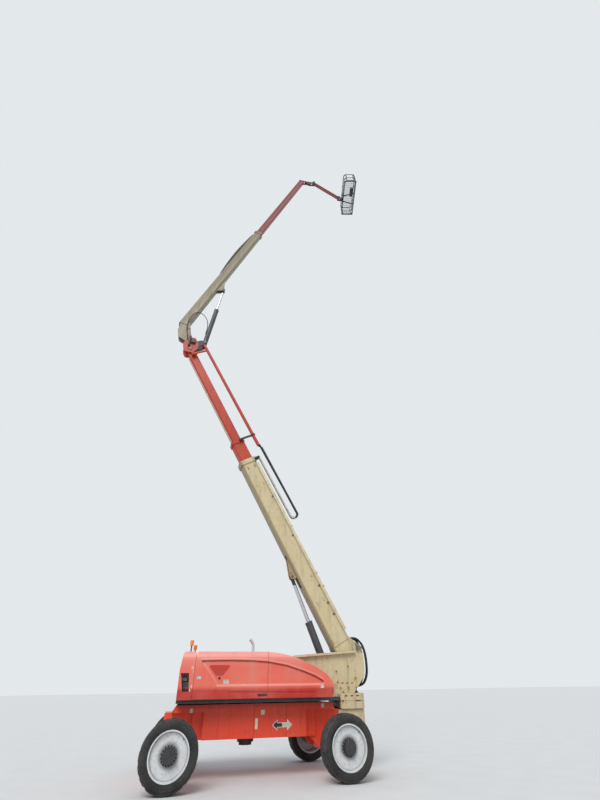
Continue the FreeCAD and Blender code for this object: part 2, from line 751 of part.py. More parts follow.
def hoods():
    """Two hinged hoods and, beside them, the fixed end sections; the near one holds the ground controls."""
    ends = []
    for side in (-1, 1):
        outer = moulded(HOOD_SIDE, side)
        low, high = ("hood_inner - 20", "hood_half - 30")
        if side < 0:
            low, high = "-(hood_half - 30)", "-(hood_inner - 20)"
        hollow = plate(HOOD_CORE, "(%s) - (%s)" % (high, low), "((%s) + (%s)) / 2" % (high, low))
        across = padded("YZ_Plane", [end_view(side, "hood_wall + panel_depth", "hood_bottom - 30")], "5000",
                        "0")
        core = doc.addObject("Part::MultiCommon", fresh("Common"))
        core.Shapes = [hollow, across]
        panel = plate(PANEL, "2 * panel_depth", "%d * hood_half" % side)
        scoop = plate(SCOOP, "2 * scoop_depth", "%d * hood_half" % side)
        hinge = "%d * (hood_inner - hinge_back)" % side
        eyes, bores = [], []
        for at in HINGES:
            eyes.append(rod("22", "150", "%d + 25" % at, hinge, "hood_top + 6", along="x"))
            eyes.append(box("%d + 25" % at, "%d + 175" % at, "%d * (hood_inner + 8) - 38" % side,
                            "%d * (hood_inner + 8) + 38" % side, "hood_top - 8", "hood_top + 6"))
            bores.append(rod("14 + pin_fit", "240", "%d - 20" % at, hinge, "hood_top + 6", along="x"))
        shell = cut(fuse(cut(outer, core, panel, scoop), *eyes), *bores)
        node("hood_" + SIDE_NAMES[side], shell)
        control = moulded(CONTROL_SIDE, side)
        if side < 0:
            window = plate(CONTROL_DOOR, "360", "-hood_half + 20")
            ends.append(cut(control, window))
        else:
            ends.append(control)
    node("end_sections", apart(*ends))


def lug_pair(outline, half_gap, thick):
    """Two like cheeks, one on each side of the middle plane."""
    return [plate(outline, thick, "%d * (%s + %s / 2)" % (side, half_gap, thick)) for side in (-1, 1)]


def open_pins(radius, x, z):
    """Pin ends on the outside of a lug pair whose middle is left open for the cylinder's eye."""
    return [rod(radius, "52", x, y, z, along="y") for y in ("-124", "72")]


def tower():
    low = "-(tower_drop + base_deep / 2)"
    base = tube("-base_tip", "-base_root", "base_wide", "base_deep", "base_edge", "-tower_drop",
                "base_wall")
    root = plate(
        [("-base_root - 20", low), ("-base_root + 140", low), ("20", "-tower_drop - 60"), ("90", "-90"),
         ("90", "40"),
         ("-120", "90"), ("-base_root - 20", "-tower_drop + base_deep / 2")],
        "base_wide - 40",
    )
    collar = tube("-base_tip - 20", "-base_tip + collar_long", "base_wide + 2 * collar_proud",
                  "base_deep + 2 * collar_proud",
                  "base_edge", "-tower_drop", "collar_proud + (base_wide - mid_wide) / 2 - slide_gap")
    cheek = [
        ("-eye_along - 620", low + " + 20"), ("-eye_along - 60", "-eye_drop - 50"),
        ("-eye_along + 40", "-eye_drop - 60"),
        ("-eye_along + 90", "-eye_drop"), ("-eye_along + 112", low + " + 20"),
    ]
    cheeks = lug_pair(cheek, "70", "40")
    belly = box("-eye_along - 640", "-eye_along + 420", "-69", "69", low + " - 20",
                low + " + base_wall + 8")
    shell = cut(fuse(base, root), cross_rod("tower_pin_radius + pin_fit", "600"), belly)
    lugs = fuse(*cheeks, *open_pins("tower_cyl_pin", "-eye_along", "-eye_drop"))
    collar_bore = tube_core("-base_tip - 40", "-base_tip + collar_long + 10", "mid_wide + 2 * slide_gap",
                            "mid_deep + 2 * slide_gap", "mid_edge", "0", "-tower_drop")
    node("tower_base", cut(fuse(shell, collar, lugs), collar_bore), TOWER)

    mid = tube("-mid_tip", "-mid_root", "mid_wide", "mid_deep", "mid_edge", "-tower_drop", "mid_wall")
    ring = tube("-mid_tip - 10", "-mid_tip + 90", "mid_wide + 50", "mid_deep + 50", "mid_edge",
                "-tower_drop",
                "25 + (mid_wide - fly_wide) / 2 - slide_gap")
    bore = tube_core("-mid_tip - 40", "-mid_tip + 100", "fly_wide + 2 * slide_gap",
                     "fly_deep + 2 * slide_gap", "fly_edge",
                     "0", "-tower_drop")
    notch = box("-mid_tip - 40", "-mid_tip + 100", "-115", "-35", "(-tower_drop - fly_deep / 2) - 40",
                "(-tower_drop - fly_deep / 2) + 10")
    clamp = [
        box("-mid_tip - 10", "-mid_tip + 50", "hose_y - 20", "-mid_wide / 2 - 25.3", "-tower_drop + 60",
            "-tower_drop + 190"),
        box("-mid_tip - 10", "-mid_tip + 50", "hose_y - 30", "hose_y + 30", "-tower_drop + 60",
            "hose_top - 40"),
    ]
    eyelet = cut(rod("hose_tube_radius + 24", "60", "-mid_tip - 10", "hose_y", "hose_top", along="x"),
                 rod("hose_tube_radius + 3", "100", "-mid_tip - 30", "hose_y", "hose_top", along="x"))
    hole = rod("hose_tube_radius + 3", "100", "-mid_tip - 30", "hose_y", "hose_top", along="x")
    node("tower_middle", cut(fuse(mid, ring), bore, notch), TOWER)
    node("hose_guide", fuse(cut(fuse(*clamp), hole), eyelet), TOWER)

    fly = tube("-(tower_reach - head_gap)", "-fly_root", "fly_wide", "fly_deep", "fly_edge", "-tower_drop",
               "fly_wall")
    head = plate(
        [("-(tower_reach - head_gap) + 60", "-tower_drop - fly_deep / 2 + 15"),
         ("-(tower_reach - head_gap) + 60", "-tower_drop + fly_deep / 2 - 15"),
         ("-tower_reach", "-tower_drop + 110"), ("-tower_reach - 110", "-tower_drop + 60"),
         ("-tower_reach - 110", "-tower_drop - 60"), ("-tower_reach", "-tower_drop - 110")],
        "fly_wide - 30",
    )
    node("tower_fly", cut(fuse(fly, head), cross_rod("45 + pin_fit", "300", "-tower_reach", "-tower_drop")),
         TOWER)
    lines = [rod("10", "5600", "-(tower_reach - head_gap) + 60", y, "(-tower_drop - fly_deep / 2) - 22",
                 along="x") for y in ("-60", "-88")]
    feet = [box("%s" % at, "%s + 30" % at, "-100", "-48", "(-tower_drop - fly_deep / 2) - 26",
                "(-tower_drop - fly_deep / 2) - 0.3")
            for at in ("-(tower_reach - head_gap) + 120", "-(tower_reach - head_gap) + 2100",
                       "-(tower_reach - head_gap) + 4050")]
    node("tower_lines", fuse(*lines, *feet), TOWER)


def tube_core(x0, x1, wide, deep, edge, wall, mid_z):
    """The solid that fills a box section's bore."""
    outline = octagon("%s - 2 * (%s)" % (wide, wall), "%s - 2 * (%s)" % (deep, wall), edge, mid_z)
    return padded("YZ_Plane", [outline], "(%s) - (%s)" % (x1, x0), x0, symmetric=False)


TOWER_EYE_X = "(tower_pivot_x - eye_along * %s - eye_drop * %s)" % (COS_T, SIN_T)
TOWER_EYE_Z = "(tower_pivot_z + eye_along * %s - eye_drop * %s)" % (SIN_T, COS_T)


def cylinder(prefix, foot_x, foot_z, eye_x, eye_z, names):
    """Barrel on its foot pin and rod up to its eye, drawn upright and leaned toward the eye."""
    length = "sqrt((%s - %s)^2 + (%s - %s)^2)" % (eye_x, foot_x, eye_z, foot_z)
    lean = "atan2(%s - %s; %s - %s)" % (foot_x, eye_x, eye_z, foot_z)
    barrel = cut(
        fuse(rod(names["outer"], names["long"] + " - 60", "0", "0", "60"),
             cross_rod(names["outer"] + " * 0.9", "60")),
        rod(names["bore"], names["long"], "0", "0", "138"),
        cross_rod(names["pin"] + " + pin_fit", "100"),
    )
    gland = cut(rod(names["outer"] + " + 4", "70", "0", "0", names["long"] + " - 60"),
                rod(names["rod"] + " + pin_fit", "200", "0", "0", names["long"] + " - 100"))
    frame = {"x": foot_x, "z": foot_z, "turn": lean, "axis": (0, -1, 0)}
    node(prefix + "_barrel", fuse(barrel, gland), frame)
    piston = rod(names["bore"] + " - pin_fit", "90", "0", "0", names["tail"])
    shaft = rod(names["rod"], length + " - 40 - (%s)" % names["tail"], "0", "0", names["tail"])
    eye = cross_rod("eye_radius", "60", "0", length)
    node(prefix + "_rod", fuse(piston, shaft, eye), frame)


TOWER_CYLINDER = {"outer": "cyl_radius", "bore": "cyl_bore", "long": "cyl_long", "rod": "rod_radius",
                  "tail": "rod_tail",
                  "pin": "tower_cyl_pin"}
MAIN_CYLINDER = {"outer": "main_cyl_radius", "bore": "main_cyl_bore", "long": "main_cyl_long",
                 "rod": "main_rod_radius",
                 "tail": "main_rod_tail", "pin": "34"}
COS_M, SIN_M = "cos(main_angle)", "sin(main_angle)"
MAIN_EYE_X = "(%s + main_eye_along * %s + main_eye_drop * %s)" % (MAIN_X, COS_M, SIN_M)
MAIN_EYE_Z = "(%s + main_eye_along * %s - main_eye_drop * %s)" % (MAIN_Z, SIN_M, COS_M)


def upright():
    """Two lower cheeks and a tongue between them that carry tower head, main boom and main cylinder."""
    outline = [
        ("-336", "192"), ("-226", "659"), ("108", "689"), ("242", "472"), ("300", "250"), ("290", "100"),
        ("200", "-100"), ("110", "-200"), ("-210", "-160"), ("-300", "0"),
    ]
    cheeks = lug_pair(outline, "upright_half - upright_plate", "upright_plate")
    web = box("-200", "100", "-upright_half + 10", "upright_half - 10", "240", "390")
    tongue = plate(
        [("-330", "250"), ("110", "250"), ("70", "560"), ("-50", "760"),
         ("pivot_b_x + 140", "pivot_b_z - 60"),
         ("pivot_b_x + 120", "pivot_b_z + 50"), ("pivot_b_x + 50", "pivot_b_z + 125"),
         ("pivot_b_x - 50", "pivot_b_z + 125"),
         ("pivot_b_x - 125", "pivot_b_z + 50"), ("pivot_b_x - 120", "pivot_b_z - 60"), ("-400", "900"),
         ("-360", "600")],
        "2 * tongue_half",
    )
    foot = [
        ("150", "240"), ("300", "240"), ("foot_c_x + 40", "foot_c_z - 100"),
        ("foot_c_x + 100", "foot_c_z + 10"),
        ("foot_c_x + 20", "foot_c_z + 95"), ("330", "foot_c_z + 60"), ("120", "470"),
    ]
    brackets = fuse(*lug_pair(foot, "upright_half - upright_plate - 45.3", "45"),
                    cross_rod("34", "upright_half - upright_plate + 12", "foot_c_x", "foot_c_z"))
    pins = [
        cross_rod("45", "upright_half + 15"), cross_rod("45", "main_wide / 2 - 3", "pivot_b_x",
                                                        "pivot_b_z"),
    ]
    node("upright_frame", fuse(*cheeks, web, tongue, *pins), HEAD)
    level = [
        rod("48", "560", "-90", "-upright_half - 55", "130"),
        box("-125", "-55", "-upright_half - 60", "-upright_half - 0.3", "150", "200"),
        box("-125", "-55", "-upright_half - 60", "-upright_half - 0.3", "600", "650"),
        box("-20", "150", "-upright_half - 90", "-upright_half - 0.3", "330", "520"),
    ]
    node("upright_fittings", apart(brackets, fuse(*level)), HEAD)


def main_boom():
    low = "(main_lift - main_deep / 2)"
    base = tube("main_root", "main_tip", "main_wide", "main_deep", "main_edge", "main_lift", "main_wall")
    root = plate(
        [("60", "-130"), ("main_root + 255", low + " + 15"),
         ("main_root + 20", "main_lift + main_deep / 2 - 15"),
         ("main_root - 30", "main_lift + 130"), ("-60", "main_lift + 55"), ("-250", "main_lift + 35"),
         ("-626", "88"),
         ("-721", "-350"), ("-382", "-402"), ("-120", "-170")],
        "main_wide - 40",
    )
    slot = box("-900", "main_root - 8", "-tongue_half - 6", "tongue_half + 6", "-900", "165")
    collar = tube("main_tip - collar_long", "main_tip + 20", "main_wide + 50", "main_deep + 50",
                  "main_edge", "main_lift",
                  "25 + (main_wide - arm_wide) / 2 - slide_gap")
    cheek = [
        ("main_eye_along - 300", low + " + 20"), ("main_eye_along - 90", "-main_eye_drop"),
        ("main_eye_along", "-main_eye_drop - 90"), ("main_eye_along + 90", "-main_eye_drop + 10"),
        ("main_eye_along + 800", low + " + 20"),
    ]
    lugs = fuse(*lug_pair(cheek, "70", "35"), *open_pins("34", "main_eye_along", "-main_eye_drop"))
    shell = cut(fuse(base, root), cross_rod("45 + pin_fit", "400"), slot)
    bore = tube_core("main_tip - collar_long - 10", "main_tip + 40", "arm_wide + 2 * slide_gap",
                     "arm_deep + 2 * slide_gap",
                     "arm_edge", "0", "main_lift")
    node("main_base", cut(fuse(shell, collar, lugs), bore), MAIN)
    arm = tube("arm_root", "arm_tip", "arm_wide", "arm_deep", "arm_edge", "main_lift", "arm_wall")
    cap = tube_core("arm_tip - 6", "arm_tip + 12", "arm_wide + 30", "arm_deep + 30", "arm_edge", "0",
                    "main_lift")
    ear = [
        ("arm_tip", "main_lift - arm_deep / 2 - 15"), ("arm_tip", "main_lift + arm_deep / 2 + 15"),
        ("arm_tip + 60", "main_lift + arm_deep / 2 + 15"), ("jib_pin_along + 90", "70"),
        ("jib_pin_along + 70", "-60"),
        ("jib_pin_along - 20", "-85"), ("jib_pin_along - 90", "-30"),
    ]
    ears = lug_pair(ear, "75", "30")
    node("main_fly", fuse(arm, cap, *ears, cross_rod("35", "120", "jib_pin_along", "0")), MAIN)
    arch = [
        ("4880", "main_top + 0.3"), ("5020", "main_top + 75"), ("7500", "main_top + 105"),
        ("9180", "main_top + 60"),
        ("9380", "main_top + 0.3"), ("9300", "main_top + 0.3"), ("9150", "main_top + 18"),
        ("7500", "main_top + 62"),
        ("5060", "main_top + 33"), ("4970", "main_top + 0.3"),
    ]
    node("main_hose_arch", plate([(x, z.replace("main_top", "(main_lift + main_deep / 2)")) for x,
                                  z in arch], "110"), MAIN)


J0_X = "(%s + jib_pin_along * %s)" % (MAIN_X, COS_M)
J0_Z = "(%s + jib_pin_along * %s)" % (MAIN_Z, SIN_M)
JIB = {"x": J0_X, "z": J0_Z, "turn": "0", "axis": (0, 1, 0)}
BAR_LOW = {"x": "%s + jib_root_x" % J0_X, "z": "%s + jib_root_z" % J0_Z, "turn": "jib_angle",
           "axis": (0, 1, 0)}
BAR_TOP = {
    "x": "%s + jib_root_x + link_x" % J0_X, "z": "%s + jib_root_z + link_z" % J0_Z, "turn": "jib_angle",
    "axis": (0, 1, 0),
}
JIB_HEAD = {
    "x": "%s + jib_root_x + jib_long * cos(jib_angle)" % J0_X,
    "z": "%s + jib_root_z - jib_long * sin(jib_angle)" % J0_Z,
    "turn": "0", "axis": (0, 1, 0),
}
PLATFORM = {
    "x": JIB_HEAD["x"] + " + rotator_x", "z": JIB_HEAD["z"], "turn": "platform_turn", "axis": (0, 0, 1),
}


def jib():
    """Mount on the fly tip, swing bracket, two parallel bars and the head."""
    arm = plate(
        [("-70", "-30"), ("0", "-75"), ("swing_x - 90", "-170"), ("swing_x - 90", "210"),
         ("swing_x - 160", "210"),
         ("-50", "60")],
        "130",
    )
    lugs = []
    for low, high in (("-170", "-120"), ("160", "210")):
        lugs.append(box("swing_x - 100", "swing_x", "-75", "75", low, high))
        lugs.append(rod("75", "(%s) - (%s)" % (high, low), "swing_x", "0", low))
    mount = cut(fuse(arm, *lugs), cross_rod("35 + pin_fit", "100"),
                rod("swing_pin + pin_fit", "460", "swing_x", "0", "-200"))
    node("jib_mount", mount, JIB)
    post = rod("swing_pin", "410", "swing_x", "0", "-185")
    barrel = rod("80", "270", "swing_x", "0", "-115")
    cheek = [
        ("swing_x + 10", "-100"), ("jib_root_x - 40", "jib_root_z - 70"),
        ("jib_root_x + 40", "jib_root_z - 55"),
        ("jib_root_x + 65", "jib_root_z"), ("jib_root_x + link_x + 50", "jib_root_z + link_z"),
        ("jib_root_x + link_x", "jib_root_z + link_z + 60"),
        ("jib_root_x + link_x - 70", "jib_root_z + link_z + 30"),
        ("swing_x + 130", "150"), ("swing_x + 10", "138"),
    ]
    pins = [
        cross_rod("28", "118", "jib_root_x", "jib_root_z"),
        cross_rod("28", "118", "jib_root_x + link_x", "jib_root_z + link_z"),
    ]
    node("swing_bracket", fuse(post, barrel, *lug_pair(cheek, "72", "30"), *pins), JIB)
    for name, frame, deep in (("lower", BAR_LOW, "jib_bar"), ("upper", BAR_TOP, "jib_bar - 15")):
        bar = tube("45", "jib_long - 45", "120", deep, "20", "0", "8")
        ends = [cross_rod("50", "66"), cross_rod("50", "66", "jib_long")]
        bores = [cross_rod("28 + pin_fit", "200"), cross_rod("28 + pin_fit", "200", "jib_long")]
        node("jib_bar_" + name, cut(fuse(bar, *ends), *bores), frame)
    cheek = [
        ("-60", "-30"), ("0", "-70"), ("100", "-50"), ("rotator_x - 60", "-50"), ("rotator_x - 60", "120"),
        ("link_x + 60", "link_z + 20"), ("link_x", "link_z + 60"), ("link_x - 60", "link_z + 20"),
    ]
    housing = rod("95", "rotator_tall", "rotator_x", "0", "-55")
    pins = [cross_rod("28", "118"), cross_rod("28", "118", "link_x", "link_z")]
    body = fuse(housing, *lug_pair(cheek, "72", "30"), *pins)
    bore = rod("rotator_pin + pin_fit", "rotator_tall + 40", "rotator_x", "0", "-75")
    node("jib_head", cut(body, bore), JIB_HEAD)


def loop(inset, z0, z1):
    """A closed rail around the platform with cut corners."""
    x0, x1, half, edge = "platform_back", "platform_back + platform_wide", "platform_long / 2", 130

    def ring(shift):
        near, far = "%s + %s" % (x0, shift), "%s - (%s)" % (x1, shift)
        side, cut_ = "%s - (%s)" % (half, shift), edge
        return [
            (near + " + %d" % cut_, "-(%s)" % side), (far + " - %d" % cut_, "-(%s)" % side),
            (far, "-(%s) + %d" % (side, cut_)), (far, "%s - %d" % (side, cut_)),
            (far + " - %d" % cut_, side), (near + " + %d" % cut_, side),
            (near, "%s - %d" % (side, cut_)), (near, "-(%s) + %d" % (side, cut_)),
        ]
    return padded("XY_Plane", [ring("0"), ring(inset)], "(%s) - (%s)" % (z1, z0), z0, symmetric=False)


def platform():
    """Floor, rails, posts, the mount on the rotator, a gate and the control box."""
    x0, x1, half = "platform_back", "(platform_back + platform_wide)", "(platform_long / 2)"
    thick = "(2 * rail_radius)"
    floor = box(x0 + " + 4", x1 + " - 4", "-%s + 4" % half, "%s - 4" % half, "floor_low", "floor_low + 40")
    rails = [loop(thick, "floor_low + 36", "floor_low + 150")]
    for level in (1, 2):
        top = "floor_low + 40 + platform_tall * %d / 2" % level
        rails.append(loop(thick, "%s - %s" % (top, thick), top))
    posts = []
    for px in (x0 + " + rail_radius", x1 + " - rail_radius"):
        for part in (-1, -0.45, 0, 0.45, 1):
            place_y = "%s * (%s - 150)" % (part, half)
            posts.append(rod("rail_radius - 2", "platform_tall", px, place_y, "floor_low + 30"))
    for py in ("-(%s - rail_radius)" % half, "%s - rail_radius" % half):
        for px in (x0 + " + 150", x1 + " - 150"):
            posts.append(rod("rail_radius - 2", "platform_tall", px, py, "floor_low + 30"))
    doorway = box(x0 + " + 172", x1 + " - 172", "-%s - 20" % half, "-%s + 60" % half, "floor_low + 152",
                  "floor_low + platform_tall + 60")
    lugs = [
        box(x0 + " + 145", x0 + " + 212", "-%s + 4" % half, "-%s + 30" % half, low, high)
        for low, high in (("floor_low + 145", "floor_low + 159.7"),
                          ("floor_low + platform_tall + 36.3", "floor_low + platform_tall + 48"))
    ]
    hinge_bore = rod("gate_pin + pin_fit", "platform_tall + 100", x0 + " + 197", "-%s + 17" % half,
                     "floor_low + 140")
    frame = cut(fuse(cut(fuse(floor, *rails, *posts), doorway), *lugs), hinge_bore)
    node("platform_frame", frame, PLATFORM)

    beams = [
        plan([("platform_back - 28", "%d * 150" % side), ("platform_back - 28", "%d * 215" % side),
              (x1 + " - 40", "%d * 445" % side), (x1 + " - 40", "%d * 380" % side)], "floor_low - 60",
              "floor_low")
        for side in (-1, 1)
    ]
    cross = box("platform_back - 28", "platform_back + 40", "-330", "330", "floor_low - 60", "floor_low")
    stem = box("109", "platform_back - 6", "-160", "160", "-90", "floor_low + 540")
    top = box("-70", "110", "-70", "70", "-55 + rotator_tall + 5", "-55 + rotator_tall + 35")
    low = box("-70", "110", "-62", "62", "-90", "-60")
    spindle = rod("rotator_pin", "rotator_tall + 50", "0", "0", "-85")
    node("platform_mount", fuse(stem, *beams, cross, top, low, spindle), PLATFORM)

    gx0, gx1, gy = "(%s + 180)" % x0, "(%s - 180)" % x1, "-%s" % half
    gate = box(gx0, gx1, gy, gy + " + 34", "floor_low + 160", "floor_low + platform_tall + 36")
    hinge_pin = rod("gate_pin", "platform_tall - 98", gx0 + " + 17", gy + " + 17", "floor_low + 146")
    opening = [
        box(gx0 + " + 34", gx1 + " - 34", gy + " - 10", gy + " + 50", "floor_low + 194", "floor_low + 570"),
        box(gx0 + " + 34", gx1 + " - 34", gy + " - 10", gy + " + 50", "floor_low + 604",
            "floor_low + platform_tall + 6"),
    ]
    node("platform_gate", fuse(cut(gate, *opening), hinge_pin), PLATFORM)
    console = box(x1 + " - 260", x1 + " - 2 * rail_radius - 1", "-300", "300",
                  "floor_low + platform_tall - 160", "floor_low + platform_tall + 60")
    node("control_box", console, PLATFORM)


def hose_run():
    """Rigid hose tube beside the tower's fly section."""
    pipe = rod("hose_tube_radius", "tower_reach - mid_tip + 470", "-(tower_reach - 40)", "hose_y",
               "hose_top", along="x")
    feet = [
        box("-(tower_reach - head_gap - 30)", "-(tower_reach - head_gap - 100)", "hose_y - 30",
            "hose_y + 30", "-tower_drop - 60", "hose_top"),
        box("-(tower_reach - head_gap - 30)", "-(tower_reach - head_gap - 100)", "hose_y + 10",
            "-fly_wide / 2 - 0.3", "-tower_drop - 60", "-tower_drop + 100"),
    ]
    node("hose_tube", fuse(pipe, *feet), TOWER)


def bent_wire(points, tightness=0.45):
    """Straight runs joined by tangent arcs."""
    pts = [vec(*p) for p in points]
    edges, start = [], pts[0]
    for before, corner, after in zip(pts, pts[1:], pts[2:]):
        into, out = corner - before, after - corner
        half_turn = into.getAngle(out) / 2
        trim = tightness * min(into.Length, out.Length)
        into, out = into.normalize(), out.normalize()
        first, last = corner - into * trim, corner + out * trim
        inward = (out - into).normalize()
        radius = trim / math.tan(half_turn)
        middle = corner + inward * (math.hypot(radius, trim) - radius)
        edges.append(Part.LineSegment(start, first).toShape())
        edges.append(Part.Arc(first, middle, last).toShape())
        start = last
    edges.append(Part.LineSegment(start, pts[-1]).toShape())
    return Part.Wire(edges)


def hose(points, radius):
    """A bent hose along a route of straight runs."""
    spine = bent_wire(points)
    first, second = vec(*points[0]), vec(*points[1])
    ring = Part.Wire([Part.Circle(first, second - first, radius).toShape()])
    obj = doc.addObject("Part::Feature", fresh("Hose"))
    obj.Shape = spine.makePipeShell([ring], True, False)
    return obj


def strap(points, wide, thick):
    """A flat chain of links: a band of a given width that follows a route in X and Z."""
    spine = bent_wire(points)
    first, second = vec(*points[0]), vec(*points[1])
    along = (second - first).normalize()
    up = along.cross(vec(0, 1, 0)).normalize()
    corners = [first + vec(0, wide / 2 * a, 0) + up * (thick / 2 * b) for a,
               b in ((-1, -1), (1, -1), (1, 1), (-1, 1), (-1, -1))]
    obj = doc.addObject("Part::Feature", fresh("Strap"))
    obj.Shape = spine.makePipeShell([Part.makePolygon(corners)], True, False)
    return obj


def hoses():
    """Hose chain of the tower, hoses at the tail and at the main pivot."""
    y = SIZES["hose_y"] - 40
    base_tip, mid_tip = SIZES["base_tip"], SIZES["mid_tip"]
    chain = strap([(140 - base_tip, y, 90), (2620 - base_tip, y, 90), (2620 - base_tip, y, 350),
                   (550 - mid_tip, y, 330)], 70, 46)
    low_end = box("-(base_tip - 60)", "-(base_tip - 160)", "hose_y - 75",
                  "-base_wide / 2 - collar_proud - 0.3", "-60", "110")
    high_end = box("-(mid_tip - 510.3)", "-(mid_tip - 580)", "hose_y - 75", "hose_y", "hose_top - 20",
                   "hose_top + 50")
    node("hose_chain", fuse(chain, low_end, high_end), TOWER)
    route = [(2781, 0, 2778.5), (2900, 0, 2790), (3070, 0, 2660), (3150, 0, 2420), (3165, 0, 2150),
             (3145, 0, 1900),
             (3020, 0, 1690), (2800, 0, 1650), (2790, 0, 1590), (2790, 0, 1510.7)]
    bundle = []
    for y, spread in ((-160, 0), (-95, 45), (-30, -40)):
        points = [(x + (spread if 1 < i < 7 else 0), y, z) for i, (x, _, z) in enumerate(route)]
        bundle.append(hose(points, 26))
    node("tail_hoses", apart(*bundle))
    head_x = SIZES["tower_pivot_x"] - SIZES["tower_reach"] * math.cos(math.radians(SIZES["tower_angle"])) \
        - SIZES["tower_drop"] * math.sin(math.radians(SIZES["tower_angle"]))
    head_z = SIZES["tower_pivot_z"] + SIZES["tower_reach"] * math.sin(math.radians(SIZES["tower_angle"])) \
        - SIZES["tower_drop"] * math.cos(math.radians(SIZES["tower_angle"]))
    arc = [(-190, -221.3, 500), (-345, -221.3, 1100), (-345, -221.3, 1750), (-150, -221.3, 2330),
           (200, -200, 2330),
           (440, -110, 2080), (532, -64, 1650), (480, -64, 1150)]
    node("pivot_hose", hose([(head_x + x, y, head_z + z) for x, y, z in arc], 16))


def write():
    doc.recompute()
    faults = [o.Name for o in doc.Objects if "Invalid" in o.State or "Error" in o.State]
    for obj in NODES:
        shape = obj.Shape
        if shape.isNull() or not shape.isValid():
            faults.append(obj.Label)
    if faults:
        raise RuntimeError("failed objects: " + ", ".join(faults))
    os.makedirs("parts", exist_ok=True)
    for obj in NODES:
        obj.Shape.exportStep("parts/%s.step" % obj.Label)
        box_ = obj.Shape.BoundBox
        print("%-22s solids %d  x %.0f..%.0f y %.0f..%.0f z %.0f..%.0f" % (
            obj.Label, len(obj.Shape.Solids), box_.XMin, box_.XMax, box_.YMin, box_.YMax, box_.ZMin,
            box_.ZMax))


chassis()
tread_gaps = lug_gaps()
for end in (-1, 1):
    for side in (-1, 1):
        axle_end(end, side)
        wheel(end, side, tread_gaps)
turntable()
hoods()
tower()
cylinder("tower_cylinder", "cyl_foot_x", "cyl_foot_z", TOWER_EYE_X, TOWER_EYE_Z, TOWER_CYLINDER)
upright()
main_boom()
cylinder("main_cylinder", "(%s + foot_c_x)" % HEAD_X, "(%s + foot_c_z)" % HEAD_Z, MAIN_EYE_X, MAIN_EYE_Z,
         MAIN_CYLINDER)
jib()
platform()
hose_run()
hoses()
write()
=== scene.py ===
import json
import math
from contextlib import contextmanager

import bmesh
import bpy
from bpy.props import FloatProperty, FloatVectorProperty, IntProperty
from mathutils import Matrix, Vector


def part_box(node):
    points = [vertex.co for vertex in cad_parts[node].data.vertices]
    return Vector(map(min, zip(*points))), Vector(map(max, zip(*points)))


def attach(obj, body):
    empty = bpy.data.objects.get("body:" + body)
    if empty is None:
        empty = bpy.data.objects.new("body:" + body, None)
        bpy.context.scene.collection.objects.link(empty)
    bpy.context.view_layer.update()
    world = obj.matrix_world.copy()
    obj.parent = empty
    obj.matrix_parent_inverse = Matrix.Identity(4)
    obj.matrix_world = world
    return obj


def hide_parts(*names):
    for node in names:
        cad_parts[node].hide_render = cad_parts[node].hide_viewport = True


bl_info = {
    "name": "Boom lift dressing",
    "version": (1, 0, 0),
    "blender": (4, 5, 0),
    "location": "View3D > Sidebar > Boom Lift",
    "description": "Finishes and small parts for an articulating boom lift",
    "category": "Object",
}

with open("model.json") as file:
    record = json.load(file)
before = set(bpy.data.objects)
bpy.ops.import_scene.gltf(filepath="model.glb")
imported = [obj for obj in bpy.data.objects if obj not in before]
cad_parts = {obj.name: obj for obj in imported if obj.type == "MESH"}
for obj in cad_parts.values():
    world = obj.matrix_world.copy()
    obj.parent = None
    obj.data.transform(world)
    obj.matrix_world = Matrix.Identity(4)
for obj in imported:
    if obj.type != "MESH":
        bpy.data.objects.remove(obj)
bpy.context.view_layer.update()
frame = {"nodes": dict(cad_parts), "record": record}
NODES = frame["nodes"]
JOINTS = {joint["name"]: joint for joint in frame["record"]["behaviour"]["joints"]}
ENDS = ("front", "rear")
SIDES = ("near", "far")
OUT = {"near": -1, "far": 1}
UP = Vector((0, 0, 1))

# Section sizes of the booms and places of the machine, in metres.
TOWER_LIFT = 0.310
TOWER_BASE = {"tip": 6.70, "wide": 0.460, "deep": 0.560}
TOWER_MIDDLE = {"tip": 7.56, "wide": 0.372, "deep": 0.458}
HOSE_TUBE_Y = -0.271
MAIN_LIFT = 0.290
MAIN_BASE = {"tip": 9.60, "wide": 0.340, "deep": 0.420}
TYRE_RADIUS = 0.578
RIM_HALF = 0.205
DISC_INSET = 0.070
HUB_RADIUS = 0.125
HUB_REACH = 0.060
HOOD_HALF = 1.200
HOOD_RECESS = 0.046
HOOD_SEAM_X = 0.170
HOOD_RIDGE_Z = 1.640
PANEL_EDGE = ((-1.45, 2.19), (-0.80, 2.20), (-0.23, 2.19), (0.165, 2.165), (0.65, 2.09), (1.115, 1.96),
              (1.37, 1.872), (1.56, 1.782))
SWITCH_FACE = 1.016
CHASSIS_SEAMS = (-0.055, 0.741)
CHASSIS_HALF = 0.660
TAIL_HALF = 0.3405
PLATFORM_TURN = math.radians(-13.0)
PLATFORM_BACK = 0.140
PLATFORM_WIDE = 0.880
PLATFORM_LONG = 2.500
GRATING_STEP = 0.045
FLOOR_LOW = 0.235
CONSOLE_Z = FLOOR_LOW + 1.16
CONSOLE_X = PLATFORM_BACK + PLATFORM_WIDE - 0.26
ROD_EYE_LONG = 0.300
SHARP_ANGLE = math.radians(30.0)


def tint(red, green, blue):
    """A colour from display values of 0 to 255."""
    def linear(value):
        value /= 255.0
        return value / 12.92 if value <= 0.04045 else ((value + 0.055) / 1.055) ** 2.4
    return (linear(red), linear(green), linear(blue), 1.0)


def pivot(joint):
    """The point in the frame that a joint turns about."""
    return Vector(JOINTS[joint]["pos_m"])


def axes_matrix(columns, origin):
    """A matrix with the given X, Y and Z axes and origin."""
    matrix = Matrix.Identity(4)
    for index, column in enumerate(columns):
        matrix.col[index][:3] = column
    matrix.translation = origin
    return matrix


